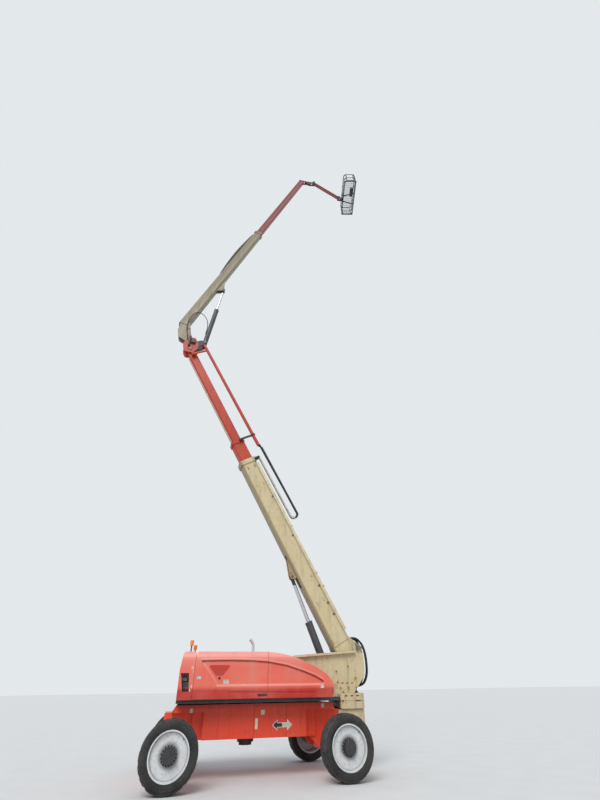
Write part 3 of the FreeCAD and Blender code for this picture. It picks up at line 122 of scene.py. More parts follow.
def boom_axes(joint, slide):
    """Axes of a boom: X along it toward its tip, Y across, Z square to it, from its hinge."""
    along = Vector(JOINTS[slide]["axis"]).normalized()
    across = Vector((0, 1, 0))
    return axes_matrix((along, across, along.cross(across)), pivot(joint))


def tower_axes():
    return boom_axes("tower_lift", "tower_middle_slide")


def main_axes():
    return boom_axes("main_lift", "main_fly_slide")


def platform_axes():
    """Axes of the turned platform, from its rotator."""
    return Matrix.Translation(pivot("platform_rotate")) @ Matrix.Rotation(PLATFORM_TURN, 4, "Z")


def centre(node):
    low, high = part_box(node)
    return (Vector(low) + Vector(high)) / 2


def wheel_corners():
    """Name and outward direction of each wheel's corner of the machine."""
    for end in ENDS:
        for side in SIDES:
            yield end + "_" + side, OUT[side]


def operator(kind, flip=False):
    """One of Python's operators, done by a shader node."""
    return lambda link, other: link.maths(kind, other, flip=flip)


class Link:
    """A shader socket that Python's operators work on."""
    __add__, __radd__ = operator("ADD"), operator("ADD", flip=True)
    __sub__, __rsub__ = operator("SUBTRACT"), operator("SUBTRACT", flip=True)
    __mul__, __truediv__, __pow__ = operator("MULTIPLY"), operator("DIVIDE"), operator("POWER")

    def __init__(self, paint, socket):
        self.paint = paint
        self.socket = socket

    def maths(self, operation, *others, flip=False, clamp=False):
        values = [self, *others]
        if flip:
            values.reverse()
        node = self.paint.tree.nodes.new("ShaderNodeMath")
        node.operation = operation
        node.use_clamp = clamp
        for index, value in enumerate(values):
            self.paint.feed(node.inputs[index], value)
        return Link(self.paint, node.outputs[0])

    def clamp(self):
        return self.maths("ADD", 0.0, clamp=True)

    def above(self, level, soft):
        """0 below the level, 1 above it, with a soft step."""
        return ((self - level) / soft + 0.5).clamp()

    def below(self, level, soft):
        return 1 - self.above(level, soft)

    def near(self, level, reach, soft):
        """1 within a reach of the level, 0 farther off."""
        return (self - level).maths("ABSOLUTE").below(reach, soft)

    def waves(self, rate):
        """Soft rings or ribs between 0 and 1."""
        return (self * rate).maths("SINE") * 0.5 + 0.5


class Paint:
    """A material whose nodes are written as expressions, with colours laid on one over another."""

    def __init__(self, name, metallic=0.0, roughness=0.5, coat=0.0, specular=0.5):
        self.material = bpy.data.materials.new(name)
        self.material.use_nodes = True
        self.tree = self.material.node_tree
        self.shader = self.tree.nodes["Principled BSDF"]
        for key, value in (("Metallic", metallic), ("Roughness", roughness), ("Coat Weight", coat),
                           ("Coat Roughness", 0.25), ("Specular IOR Level", specular)):
            self.shader.inputs[key].default_value = value
        self.coordinates = self.tree.nodes.new("ShaderNodeTexCoord").outputs
        self.shade = None

    def feed(self, socket, value):
        if isinstance(value, Link):
            self.tree.links.new(value.socket, socket)
        else:
            socket.default_value = value

    def split(self, kind):
        """The three parts of one of the coordinates."""
        node = self.tree.nodes.new("ShaderNodeSeparateXYZ")
        self.tree.links.new(self.coordinates[kind], node.inputs[0])
        return [Link(self, output) for output in node.outputs]

    def axes(self):
        return self.split("Object")

    def facing_up(self):
        """1 where the surface looks up, 0 where it is upright or looks down."""
        return self.split("Normal")[2]

    def noise(self, scale, detail=4.0, stretch=(1, 1, 1), shift=(0, 0, 0), roughness=0.55):
        mapping = self.tree.nodes.new("ShaderNodeMapping")
        mapping.inputs["Scale"].default_value = stretch
        mapping.inputs["Location"].default_value = shift
        self.tree.links.new(self.coordinates["Object"], mapping.inputs["Vector"])
        node = self.tree.nodes.new("ShaderNodeTexNoise")
        self.tree.links.new(mapping.outputs[0], node.inputs["Vector"])
        node.inputs["Scale"].default_value = scale
        node.inputs["Detail"].default_value = detail
        node.inputs["Roughness"].default_value = roughness
        return Link(self, node.outputs[0])

    def layer(self, colour, mask):
        """One more colour, over what is there where the mask is 1."""
        node = self.tree.nodes.new("ShaderNodeMix")
        node.data_type = "RGBA"
        self.feed(node.inputs["Factor"], mask)
        self.feed(node.inputs[6], self.shade)
        self.feed(node.inputs[7], colour)
        self.shade = Link(self, node.outputs[2])

    def finish(self, rough=None, bump=None, depth=0.001, strength=0.5):
        """Joins colour, roughness and bumps to the shader."""
        self.feed(self.shader.inputs["Base Color"], self.shade)
        if rough:
            self.feed(self.shader.inputs["Roughness"], rough.clamp())
        if bump:
            node = self.tree.nodes.new("ShaderNodeBump")
            node.inputs["Distance"].default_value = depth
            node.inputs["Strength"].default_value = strength
            self.feed(node.inputs["Height"], bump)
            self.tree.links.new(node.outputs[0], self.shader.inputs["Normal"])
        return self.material


def outline_height(x, points):
    """Height of a drawn line at each place along the machine."""
    height, slope = x * 0.0 + points[0][1], 0.0
    for (start, low), (end, high) in zip(points, points[1:]):
        change = (high - low) / (end - start) - slope
        height = height + (x - start).maths("MAXIMUM", 0.0) * change
        slope += change
    return height


def weathered_paint(name, colour, faded, dirty, rust, roughness=0.42, fade_top=0.5, streaks=0.42, extra=None):
    """Sprayed paint that has faded on top, streaked below its edges and rusted in spots."""
    paint = Paint(name, roughness=roughness, coat=0.10, specular=0.35)
    cloud = paint.noise(0.9, 5.0)
    fine = paint.noise(11.0, 6.0)
    streak = paint.noise(3.0, 5.0, stretch=(3.2, 3.2, 0.35))
    up = paint.facing_up().above(0.35, 0.9)
    paint.shade = colour
    paint.layer(faded, (cloud.above(0.52, 0.35) * 0.55 + up * fade_top).clamp())
    if extra:
        extra(paint)
    grime = (streak.above(0.60, 0.16) * streaks + fine.above(0.62, 0.20) * 0.22).clamp()
    paint.layer(dirty, grime)
    spots = paint.noise(5.5, 8.0, shift=(4.1, 1.7, 2.9), roughness=0.7)
    halo = spots.above(0.70 - 0.06 * rust, 0.10) * 0.75
    core = spots.above(0.745 - 0.06 * rust, 0.04)
    paint.layer(tint(176, 120, 78), halo * min(1.0, rust))
    paint.layer(tint(96, 52, 32), core * min(1.0, rust))
    return paint.finish(roughness + grime * 0.25 + core * 0.3 + fine * 0.08, fine * 0.35 + core * 0.8, 0.0015)


def painted_panel_light_and_shade(x, height):
    """Painted highlights on the hood's moulded ridge, along the panel's slanted edge and on the lip above the
    panel, and a painted shadow in the groove just under the panel's top edge.
    """
    # Painted highlight bands: on the ridge, along the slanted edge and on the lip.
    ridge = height.near(HOOD_RIDGE_Z + 0.062, 0.022, 0.02) * x.near(0.26, 1.32, 0.05)
    slant = ((x + 1.45) * 0.738 + (height - 2.145) * 0.674).near(0.03, 0.022, 0.02)
    slant = slant * height.near(1.94, 0.20, 0.03)
    below_edge = outline_height(x, PANEL_EDGE) - height
    lip = below_edge.near(-0.030, 0.016, 0.02) * x.near(0.06, 1.52, 0.03)
    # Painted shadow inside the recess, just under the panel's top edge.
    groove_shadow = below_edge.near(0.018, 0.020, 0.025) * x.near(0.06, 1.51, 0.02)
    return ridge * 0.8 + slant * 0.5 + lip * 0.4, groove_shadow


def shell_material(colour, faded, under_ridge_shade):
    """Moulded hood shell, bleached on top, with a darker, redder band of painted shade under its ridge,
    painted highlights and shadow along its moulded lines, and a seam down its middle.
    """
    paint = Paint("hood_shell", roughness=0.40, coat=0.15, specular=0.4)
    x, _, height = paint.axes()
    cloud = paint.noise(1.1, 5.0)
    fine = paint.noise(16.0, 5.0)
    streak = paint.noise(2.4, 5.0, stretch=(3.0, 3.0, 0.25))
    up = paint.facing_up().above(0.30, 0.6)
    bleached = up * 0.7 + height.above(2.16, 0.25) * 0.35 + cloud.above(0.55, 0.3) * 0.22
    lines, groove_shadow = painted_panel_light_and_shade(x, height)
    paint.shade = colour
    # Painted shade: a darker, redder colour below the ridge.
    paint.layer(under_ridge_shade, height.below(HOOD_RIDGE_Z, 0.07))
    # The faded colour here is real fading on top and in patches, plus the painted highlights of the moulded
    # lines.
    paint.layer(faded, (bleached + lines).clamp())
    # Painted shadow in the groove under the panel's top edge.
    paint.layer(tint(150, 34, 26), groove_shadow * 0.8)
    dust = (streak.above(0.58, 0.18) * 0.24 + fine.above(0.60, 0.2) * 0.12).clamp()
    dust = dust * height.above(HOOD_RIDGE_Z, 0.06)
    paint.layer(tint(188, 138, 122), dust)
    scuff = paint.noise(7.0, 9.0, stretch=(1, 1, 2.2), roughness=0.75).above(0.735, 0.03)
    paint.layer(tint(150, 60, 46), scuff * 0.7)
    seam = x.near(HOOD_SEAM_X, 0.005, 0.004)
    paint.layer(tint(96, 30, 24), seam * 0.75)
    patches = paint.noise(6.0, 9.0, shift=(1.2, 0.4, 2.2), roughness=0.7).above(0.56, 0.04)
    worn = x.near(-1.650, 0.035, 0.03) * patches
    paint.layer(tint(226, 210, 204), worn * height.near(1.80, 0.26, 0.08) * 0.8)
    return paint.finish(0.36 + dust * 0.4 + fine * 0.1, fine * 0.35 - seam * 2.0, 0.0012)


def chassis_seams(paint):
    """Welded seams of the chassis side plates, with soot in them and a shade under the deck."""
    x, y, z = paint.axes()
    side = y.maths("ABSOLUTE").above(CHASSIS_HALF - 0.03, 0.02)
    for place in CHASSIS_SEAMS:
        paint.layer(tint(104, 34, 26), x.near(place, 0.0055, 0.004) * side * 0.8)
    paint.layer(tint(120, 38, 28), z.above(1.29, 0.10) * side * 0.45)


def height_on_boom(paint, axes):
    """How far a place lies off a boom's axis, along the boom's own Z."""
    square = axes.to_3x3() @ UP
    x, _, z = paint.axes()
    return x * square.x + z * square.z - axes.translation.dot(square)


def tower_side_shade(paint):
    """Painted shade on the tower base: a dark band along its belly edge and a painted shadow beside the rail
    on its back.
    """
    height = height_on_boom(paint, tower_axes())
    belly = height.above(TOWER_LIFT + TOWER_BASE["deep"] / 2 - 0.045, 0.04)
    back = height.below(TOWER_LIFT - TOWER_BASE["deep"] / 2 + 0.095, 0.07)
    # Both bands are painted shade.
    paint.layer(tint(120, 102, 74), (belly * 0.6 + back * 0.35).clamp())


def main_side_light(belly_light_colour):
    """Painted light on the main boom's sides: paler toward its belly."""
    def shading(paint):
        height = height_on_boom(paint, main_axes())
        # Painted light: a paler colour on the lower part of each side.
        paint.layer(belly_light_colour, height.below(MAIN_LIFT - 0.02, 0.08) * 0.55)
    return shading


def open_grating(paint):
    """0 in the holes of the bar grating in the platform's floor, 1 on its bars and everywhere else."""
    place = pivot("platform_rotate")
    x, y, z = paint.axes()
    dx, dy = x - place.x, y - place.y
    across = dx * math.cos(PLATFORM_TURN) + dy * math.sin(PLATFORM_TURN)
    along = dy * math.cos(PLATFORM_TURN) - dx * math.sin(PLATFORM_TURN)
    rim = 0.055
    inside = across.near(PLATFORM_BACK + PLATFORM_WIDE / 2, PLATFORM_WIDE / 2 - rim, 0.004)
    inside = inside * along.near(0.0, PLATFORM_LONG / 2 - rim, 0.004)
    inside = inside * (z - place.z).near(FLOOR_LOW + 0.020, 0.030, 0.004)
    bars = 1 - (across / GRATING_STEP).maths("FRACT").near(0.5, 0.435, 0.04)
    ties = 1 - (along / (GRATING_STEP * 3)).maths("FRACT").near(0.5, 0.475, 0.02)
    return (bars + ties + (1 - inside)).clamp()


def grating_material(colour, dirty):
    """Dark platform paint, worn on the rails, with an open bar grating in the floor."""
    paint = Paint("platform_paint", roughness=0.5)
    fine = paint.noise(14.0, 6.0)
    worn = paint.noise(4.0, 7.0, roughness=0.7).above(0.60, 0.10)
    paint.shade = colour
    paint.layer(tint(120, 118, 116), worn * 0.55)
    paint.layer(dirty, fine.above(0.60, 0.2) * 0.4)
    paint.feed(paint.shader.inputs["Alpha"], open_grating(paint))
    return paint.finish(0.45 + fine * 0.2, fine, 0.0010, 0.4)


def metal_material(name, colour, stain, roughness=0.45, amount=0.6, metallic=0.6):
    """Bare metal with stains."""
    paint = Paint(name, metallic=metallic, roughness=roughness)
    fine = paint.noise(28.0, 5.0)
    stains = (paint.noise(4.0, 6.0).above(0.56, 0.2) * amount).clamp()
    paint.shade = colour
    paint.layer(stain, stains)
    return paint.finish(roughness + fine * 0.12 + stains * 0.3, fine, 0.0006, 0.3)


def rod_material(node):
    """Bright piston rod whose eye, at the top, is dark cast steel."""
    paint = Paint(node + "_finish", metallic=0.9, roughness=0.24)
    z = paint.axes()[2]
    eye = z.above(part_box(node)[1][2] - ROD_EYE_LONG, 0.02)
    oil = (paint.noise(4.0, 6.0).above(0.56, 0.2) * 0.2).clamp()
    paint.shade = tint(206, 208, 212)
    paint.layer(tint(150, 148, 144), oil)
    paint.layer(tint(52, 53, 56), eye)
    paint.feed(paint.shader.inputs["Metallic"], 0.9 - eye * 0.7)
    return paint.finish(0.26 + oil * 0.3 + eye * 0.26)


def rubber_material(name, colour, dust, scale=24.0):
    """Black rubber with dust on it."""
    paint = Paint(name, roughness=0.8, specular=0.3)
    fine = paint.noise(scale, 6.0)
    patch = paint.noise(2.6, 5.0)
    paint.shade = colour
    paint.layer(dust, (patch.above(0.50, 0.3) * 0.55 + fine.above(0.58, 0.2) * 0.25).clamp())
    return paint.finish(0.72 + fine * 0.2, fine, 0.0015)


def distance_from_axle(paint, middle):
    x, _, z = paint.axes()
    return ((x - middle.x) ** 2 + (z - middle.z) ** 2) ** 0.5


def tyre_material(middle):
    """Tyre rubber with moulded rings on the sidewall, dust in them and a worn, paler tread."""
    paint = Paint("tyre_rubber", roughness=0.85, specular=0.25)
    reach = distance_from_axle(paint, middle)
    fine = paint.noise(30.0, 6.0)
    patch = paint.noise(3.0, 5.0)
    tread = reach.above(TYRE_RADIUS - 0.03, 0.02)
    dust = (patch.above(0.46, 0.3) * 0.5 + fine.above(0.55, 0.2) * 0.25 + tread * 0.35).clamp()
    rings = reach.waves(240.0) * reach.below(TYRE_RADIUS - 0.10, 0.01) * reach.above(0.415, 0.01)
    paint.shade = tint(30, 30, 33)
    paint.layer(tint(76, 74, 72), dust)
    paint.layer(tint(26, 26, 28), rings * 0.35)
    return paint.finish(0.74 + fine * 0.2, rings * 0.8 + fine * 0.5, 0.0025, 0.6)


def rim_material(middle):
    """Pale wheel paint with a dark hub, brake dust round the bolts and scuffs at the rim's lip."""
    paint = Paint("wheel_paint", roughness=0.45, coat=0.1)
    reach = distance_from_axle(paint, middle)
    fine = paint.noise(20.0, 6.0)
    patch = paint.noise(3.4, 6.0)
    grime = reach.below(HUB_RADIUS + 0.075, 0.07) * 0.75
    chips = paint.noise(12.0, 8.0, roughness=0.75).above(0.70, 0.04) * reach.above(0.36, 0.03)
    paint.shade = tint(208, 210, 211)
    paint.layer(tint(176, 175, 171), patch.above(0.50, 0.35) * 0.6)
    paint.layer(tint(128, 122, 112), (fine.above(0.60, 0.14) * 0.35).clamp())
    paint.layer(tint(120, 116, 110), reach.above(0.352, 0.012) * reach.below(0.368, 0.012) * 0.5)
    paint.layer(tint(74, 72, 72), grime)
    paint.layer(tint(46, 47, 50), reach.below(HUB_RADIUS + 0.004, 0.006))
    paint.layer(tint(110, 66, 44), chips * 0.8)
    return paint.finish(0.42 + fine * 0.2 + grime * 0.2, fine * 0.4, 0.001, 0.4)


def lamp_material():
    """Amber beacon lens with moulded ribs."""
    paint = Paint("amber_lens", roughness=0.25, coat=0.4)
    ribs = paint.axes()[2].waves(700.0)
    paint.shade = tint(228, 92, 20)
    paint.layer(tint(250, 150, 60), ribs * 0.6 + paint.noise(30.0) * 0.2)
    return paint.finish(bump=ribs, depth=0.002)


def plain_material(name, colour, roughness=0.5, wear=0.25, metallic=0.0):
    """A small part's finish with slight dirt."""
    paint = Paint(name, roughness=roughness, metallic=metallic)
    fine = paint.noise(40.0, 5.0)
    patch = paint.noise(7.0, 5.0)
    paint.shade = colour
    dirt = (patch.above(0.52, 0.3) * wear + fine.above(0.6, 0.2) * wear * 0.5).clamp()
    paint.layer(tint(96, 88, 78), dirt)
    return paint.finish(roughness + fine * 0.12, fine, 0.0005, 0.3)


def give(node, material):
    """A carried-over node takes a finish."""
    obj = NODES[node]
    obj.data.materials.clear()
    obj.data.materials.append(material)


@contextmanager
def piece(name, material, body):
    """An empty mesh to fill, which then becomes a piece that rides on a body."""
    mesh_data = bmesh.new()
    yield mesh_data
    bmesh.ops.remove_doubles(mesh_data, verts=mesh_data.verts, dist=1e-5)
    bmesh.ops.recalc_face_normals(mesh_data, faces=mesh_data.faces)
    mesh = bpy.data.meshes.new(name)
    mesh_data.to_mesh(mesh)
    mesh_data.free()
    mesh.materials.append(material)
    for polygon in mesh.polygons:
        polygon.use_smooth = True
    mesh.set_sharp_from_angle(angle=SHARP_ANGLE)
    obj = bpy.data.objects.new(name, mesh)
    bpy.context.scene.collection.objects.link(obj)
    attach(obj, body)


def add_block(mesh_data, low, high, bevel=0.0, matrix=None):
    """A block between two corners with rounded edges."""
    low, high = Vector(low), Vector(high)
    made = bmesh.ops.create_cube(mesh_data, size=1.0)["verts"]
    bmesh.ops.scale(mesh_data, vec=high - low, verts=made)
    bmesh.ops.translate(mesh_data, vec=(low + high) / 2, verts=made)
    if matrix is not None:
        bmesh.ops.transform(mesh_data, matrix=matrix, verts=made)
    if bevel:
        edges = list(dict.fromkeys(edge for vert in made for edge in vert.link_edges))
        bmesh.ops.bevel(mesh_data, geom=edges, offset=bevel, segments=2, profile=0.5, affect="EDGES",
                        material=-1)


def add_rod(mesh_data, start, end, radius, sides=12, end_radius=None):
    """A round bar between two points."""
    start, end = Vector(start), Vector(end)
    along = end - start
    turn = along.to_track_quat("Z", "Y").to_matrix().to_4x4()
    bmesh.ops.create_cone(
        mesh_data, cap_ends=True, segments=sides, radius1=radius,
        radius2=radius if end_radius is None else end_radius,
        depth=along.length, matrix=Matrix.Translation((start + end) / 2) @ turn,
    )


def add_disc(mesh_data, place, out, start, end, radius, sides=12, end_radius=None):
    """A round bar along a direction, from one distance off a place to another."""
    place, out = Vector(place), Vector(out)
    add_rod(mesh_data, place + out * start, place + out * end, radius, sides, end_radius)


def add_plate(mesh_data, outline, thickness, matrix):
    """A flat plate of an outline in its own X and Y, as thick as given along its Z."""
    verts = [mesh_data.verts.new((x, y, 0.0)) for x, y in outline]
    face = mesh_data.faces.new(verts)
    made = bmesh.ops.extrude_face_region(mesh_data, geom=[face])
    top = [item for item in made["geom"] if isinstance(item, bmesh.types.BMVert)]
    bmesh.ops.translate(mesh_data, vec=(0, 0, thickness), verts=top)
    bmesh.ops.transform(mesh_data, matrix=matrix, verts=verts + top)


def side_plate(mesh_data, side, face, outline, thickness):
    """A thin plate on an upright face that looks to one side; its outline is in X and height."""
    out = Vector((0, OUT[side], 0))
    add_plate(mesh_data, outline, thickness, axes_matrix((Vector((1, 0, 0)), UP, out), out * face))


def hexagon_bolt(mesh_data, place, out, radius=0.012, tall=0.009):
    """A washer and a six-sided head on a surface that faces out."""
    out = Vector(out).normalized()
    add_disc(mesh_data, place, out, -0.001, 0.0022, radius * 1.25, sides=14)
    add_disc(mesh_data, place, out, 0.002, tall, radius, sides=6)


def bolt_circle(mesh_data, middle, out, ring, count, radius):
    """Bolts on a circle round an axis."""
    out = Vector(out)
    side = out.orthogonal().normalized()
    other = out.cross(side)
    for index in range(count):
        angle = 2 * math.pi * (index + 0.5) / count
        spot = Vector(middle) + (side * math.cos(angle) + other * math.sin(angle)) * ring
        hexagon_bolt(mesh_data, spot, out, radius)


def level_bolt_circle(mesh_data, middle, up, ring, count, radius, tall):
    """Bolts that point up or down on a level circle, the first one toward +X."""
    for index in range(count):
        angle = 2 * math.pi * index / count
        spot = Vector(middle) + Vector((math.cos(angle), math.sin(angle), 0)) * ring
        hexagon_bolt(mesh_data, spot, (0, 0, up), radius, tall)


def side_bolts(mesh_data, out, face, places, radius, axes=Matrix.Identity(4), tall=0.009):
    """Bolts that look to one side, at places given in X and Z of some axes."""
    for x, z in places:
        hexagon_bolt(mesh_data, axes @ Vector((x, out * face, z)), (0, out, 0), radius, tall)


def pin_cap(mesh_data, place, out, radius, keeper=None):
    """The end of a pin: a disc, a grease nipple and perhaps a keeper plate held by two bolts."""
    place, out = Vector(place), Vector((0, out, 0))
    add_disc(mesh_data, place, out, -0.002, 0.012, radius, sides=28)
    add_disc(mesh_data, place, out, 0.010, 0.016, radius * 0.72, sides=28, end_radius=radius * 0.62)
    add_disc(mesh_data, place, out, 0.014, 0.030, 0.006, sides=10, end_radius=0.004)
    if keeper is None:
        return
    turn = Matrix.Translation(place) @ Matrix.Rotation(math.radians(keeper), 4, "Y")
    reach, edge, thick = radius * 1.9, radius * 0.62, 0.011
    face = 0.0 if out.y > 0 else -thick
    add_block(mesh_data, (-reach, face, edge), (reach, face + thick, edge + 0.045), 0.003, turn)
    for at in (-0.72, 0.72):
        spot = turn @ Vector((reach * at, 0.0, edge + 0.022))
        hexagon_bolt(mesh_data, spot + out * thick, out, 0.011)


def rounded(points, radius, steps=4):
    """An outline whose corners are rounded by arcs."""
    result = []
    count = len(points)
    for index in range(count):
        before, corner, after = (Vector(points[(index + k) % count]) for k in (-1, 0, 1))
        into, away = (before - corner).normalized(), (after - corner).normalized()
        half = into.angle(away) / 2
        trim = min(radius / math.tan(half), (before - corner).length * 0.45, (after - corner).length * 0.45)
        middle = corner + (into + away).normalized() * (trim / math.cos(half))
        first = corner + into * trim - middle
        last = corner + away * trim - middle
        sweep = first.angle_signed(last)
        for step in range(steps + 1):
            angle = -sweep * step / steps
            turned = Vector((first.x * math.cos(angle) - first.y * math.sin(angle),
                             first.x * math.sin(angle) + first.y * math.cos(angle)))
            result.append(tuple(middle + turned))
    return result


def rectangle(left, right, low, high, corner):
    """Outline of a rectangle with rounded corners."""
    return rounded([(left, low), (right, low), (right, high), (left, high)], corner)


def card(x, z, wide, tall, corner):
    """Outline of a rounded rectangle about its middle."""
    return rectangle(x - wide / 2, x + wide / 2, z - tall / 2, z + tall / 2, corner)


def colour_property(name, description, *display):
    return FloatVectorProperty(name=name, description=description, subtype="COLOR", size=4,
                               default=tint(*display), min=0.0, max=1.0)


class BoomLiftColours(bpy.types.PropertyGroup):
    shell: colour_property("Hood", "Faded moulded hoods", 218, 92, 72)
    chassis: colour_property("Chassis", "Sprayed chassis", 230, 66, 40)
    tower: colour_property("Tower", "Tower middle, tower fly and upright", 172, 50, 27)
    cream: colour_property("Cream", "Tower base and tail", 194, 177, 138)
    upper_red: colour_property("Upper boom", "Main fly and jib", 118, 33, 32)
    dark: colour_property("Dark steel", "Platform, deck and brackets", 44, 44, 48)


class BoomLiftSizes(bpy.types.PropertyGroup):
    bolt_count: IntProperty(name="Wheel bolts", description="Bolts on each wheel", default=16, min=4, max=30)
    bolt_ring: FloatProperty(name="Bolt circle", description="Radius of the wheel bolts' circle",
                             default=0.150, unit="LENGTH")
    lens: FloatProperty(name="Lens", description="Focal length for a 36 mm tall image", default=17.1)


class FinishFrame(bpy.types.Operator):
    """Gives every carried-over part its finish"""
    bl_idname = "boomlift.finish_frame"
    bl_label = "Finish the frame"

    def execute(self, context):
        colours = {key: tuple(getattr(context.scene.boomlift_colours, key))
                   for key in BoomLiftColours.__annotations__}
        chassis = weathered_paint("chassis_paint", colours["chassis"], tint(222, 88, 62), tint(146, 56, 38),
                                  rust=0.5, fade_top=0.25, streaks=0.26, extra=chassis_seams)
        dark = weathered_paint("dark_steel", colours["dark"], tint(72, 72, 76), tint(84, 74, 64),
                               rust=0.4, roughness=0.5)
        self.finish_wheels(chassis, dark)
        finishes = {
            chassis: ("chassis_frame",),
            dark: ("turntable_deck", "swivel_guard", "jib_mount", "swing_bracket", "jib_head",
                   "platform_mount", "platform_gate", "control_box", "slew_ring", "engine_block",
                   "beacon_posts", "upright_fittings", "control_panel", "hose_guide"),
            **self.body_finishes(colours), **self.boom_finishes(colours), **self.bare_finishes(),
        }
        for material, names in finishes.items():
            for name in names:
                give(name, material)
        return {"FINISHED"}

    def finish_wheels(self, chassis, dark):
        for key, _ in wheel_corners():
            middle = centre("tyre_" + key)
            give("axle_" + key, chassis)
            give("knuckle_" + key, dark)
            give("tyre_" + key, tyre_material(middle))
            give("rim_" + key, rim_material(middle))

    def cream_paint(self, name, colours, extra=None):
        return weathered_paint(name, colours["cream"], tint(208, 194, 158), tint(142, 124, 92),
                               rust=1.1, extra=extra)

    def body_finishes(self, colours):
        # The last colour is painted shade under the hoods' ridge.
        shell = shell_material(colours["shell"], tint(232, 152, 138), tint(176, 34, 16))
        grating = grating_material(colours["dark"], tint(84, 74, 64))
        return {
            shell: ("hood_near", "hood_far", "end_sections"),
            self.cream_paint("cream_paint", colours): ("end_weights", "tail_frame", "tail_weight"),
            grating: ("platform_frame",),
            lamp_material(): ("beacon_lamps",),
        }

    def boom_finishes(self, colours):
        orange = weathered_paint("tower_paint", colours["tower"], tint(186, 76, 54), tint(118, 46, 30),
                                 rust=0.6, streaks=0.3)
        # The belly colours of the main boom and the main fly are painted light.
        main_cream = weathered_paint("main_cream", tint(124, 114, 88), tint(137, 128, 103), tint(92, 80, 58),
                                     rust=1.1, extra=main_side_light(tint(152, 144, 121)))
        red = weathered_paint("upper_paint", colours["upper_red"], tint(134, 60, 55), tint(80, 33, 30),
                              rust=0.5, extra=main_side_light(tint(150, 86, 82)))
        grey = weathered_paint("cylinder_grey", tint(58, 60, 64), tint(86, 88, 91), tint(80, 73, 64),
                               rust=0.5, roughness=0.5)
        lines = weathered_paint("line_paint", tint(206, 198, 178), tint(214, 208, 192), tint(130, 118, 96),
                                rust=0.4)
        return {
            orange: ("upright_frame", "tower_middle", "tower_fly", "hose_tube"),
            # The extra layer on the tower base is painted shade.
            self.cream_paint("tower_cream", colours, tower_side_shade): ("tower_base",),
            main_cream: ("main_base",),
            red: ("main_fly", "jib_bar_lower", "jib_bar_upper"),
            grey: ("tower_cylinder_barrel", "main_cylinder_barrel"),
            lines: ("tower_lines",),
        }

    def bare_finishes(self):
        pipe = metal_material("bright_rod", tint(206, 208, 212), tint(150, 148, 144), 0.24, 0.2, 0.9)
        rubber = rubber_material("hose_rubber", tint(26, 26, 28), tint(60, 57, 54))
        rods = {rod_material(name): (name,) for name in ("tower_cylinder_rod", "main_cylinder_rod")}
        return {pipe: ("exhaust_pipe",),
                rubber: ("tail_hoses", "pivot_hose", "hose_chain", "main_hose_arch"), **rods}


class BuildStage(bpy.types.Operator):
    """Pale floor, sky and a soft sun"""
    bl_idname = "boomlift.build_stage"
    bl_label = "Build the stage"

    def execute(self, context):
        self.add_floor(context.scene)
        self.add_sky(context.scene)
        self.add_sun(context.scene)
        return {"FINISHED"}

    def add_floor(self, scene):
        floor = bmesh.new()
        bmesh.ops.create_grid(floor, x_segments=1, y_segments=1, size=1500.0)
        mesh = bpy.data.meshes.new("floor")
        floor.to_mesh(mesh)
        floor.free()
        paint = Paint("floor_paint", roughness=0.9)
        paint.shade = tint(216, 216, 214)
        paint.layer(tint(205, 205, 203), paint.noise(1.5, 3.0))
        mesh.materials.append(paint.finish())
        ground = bpy.data.objects.new("floor", mesh)
        ground.location.z = -0.002
        scene.collection.objects.link(ground)

    def add_sky(self, scene):
        """Light of an overcast sky; the camera and reflections see a paler, even backdrop."""
        world = bpy.data.worlds.new("sky")
        scene.world = world
        world.use_nodes = True
        tree = world.node_tree
        light = tree.nodes["Background"]
        light.inputs["Color"].default_value = (0.86, 0.92, 1.0, 1.0)
        light.inputs["Strength"].default_value = 0.68
        seen = tree.nodes.new("ShaderNodeBackground")
        seen.inputs["Color"].default_value = (0.86, 0.90, 0.93, 1.0)
        seen.inputs["Strength"].default_value = 0.9
        mix = tree.nodes.new("ShaderNodeMixShader")
        tree.links.new(self.seen_directly(tree), mix.inputs[0])
        tree.links.new(light.outputs[0], mix.inputs[1])
        tree.links.new(seen.outputs[0], mix.inputs[2])
        tree.links.new(mix.outputs[0], tree.nodes["World Output"].inputs["Surface"])

    def seen_directly(self, tree):
        """1 for rays from the camera, from glossy surfaces and through clear ones."""
        path = tree.nodes.new("ShaderNodeLightPath")
        shown = path.outputs["Is Camera Ray"]
        for kind in ("Is Glossy Ray", "Is Transmission Ray"):
            total = tree.nodes.new("ShaderNodeMath")
            total.operation = "ADD"
            total.use_clamp = True
            tree.links.new(shown, total.inputs[0])
            tree.links.new(path.outputs[kind], total.inputs[1])
            shown = total.outputs[0]
        return shown

    def add_sun(self, scene):
        sun = bpy.data.lights.new("soft_sun", "SUN")
        sun.energy = 2.1
        sun.angle = math.radians(35)
        lamp = bpy.data.objects.new("soft_sun", sun)
        lamp.rotation_euler = (math.radians(48), 0, math.radians(-28))
        scene.collection.objects.link(lamp)


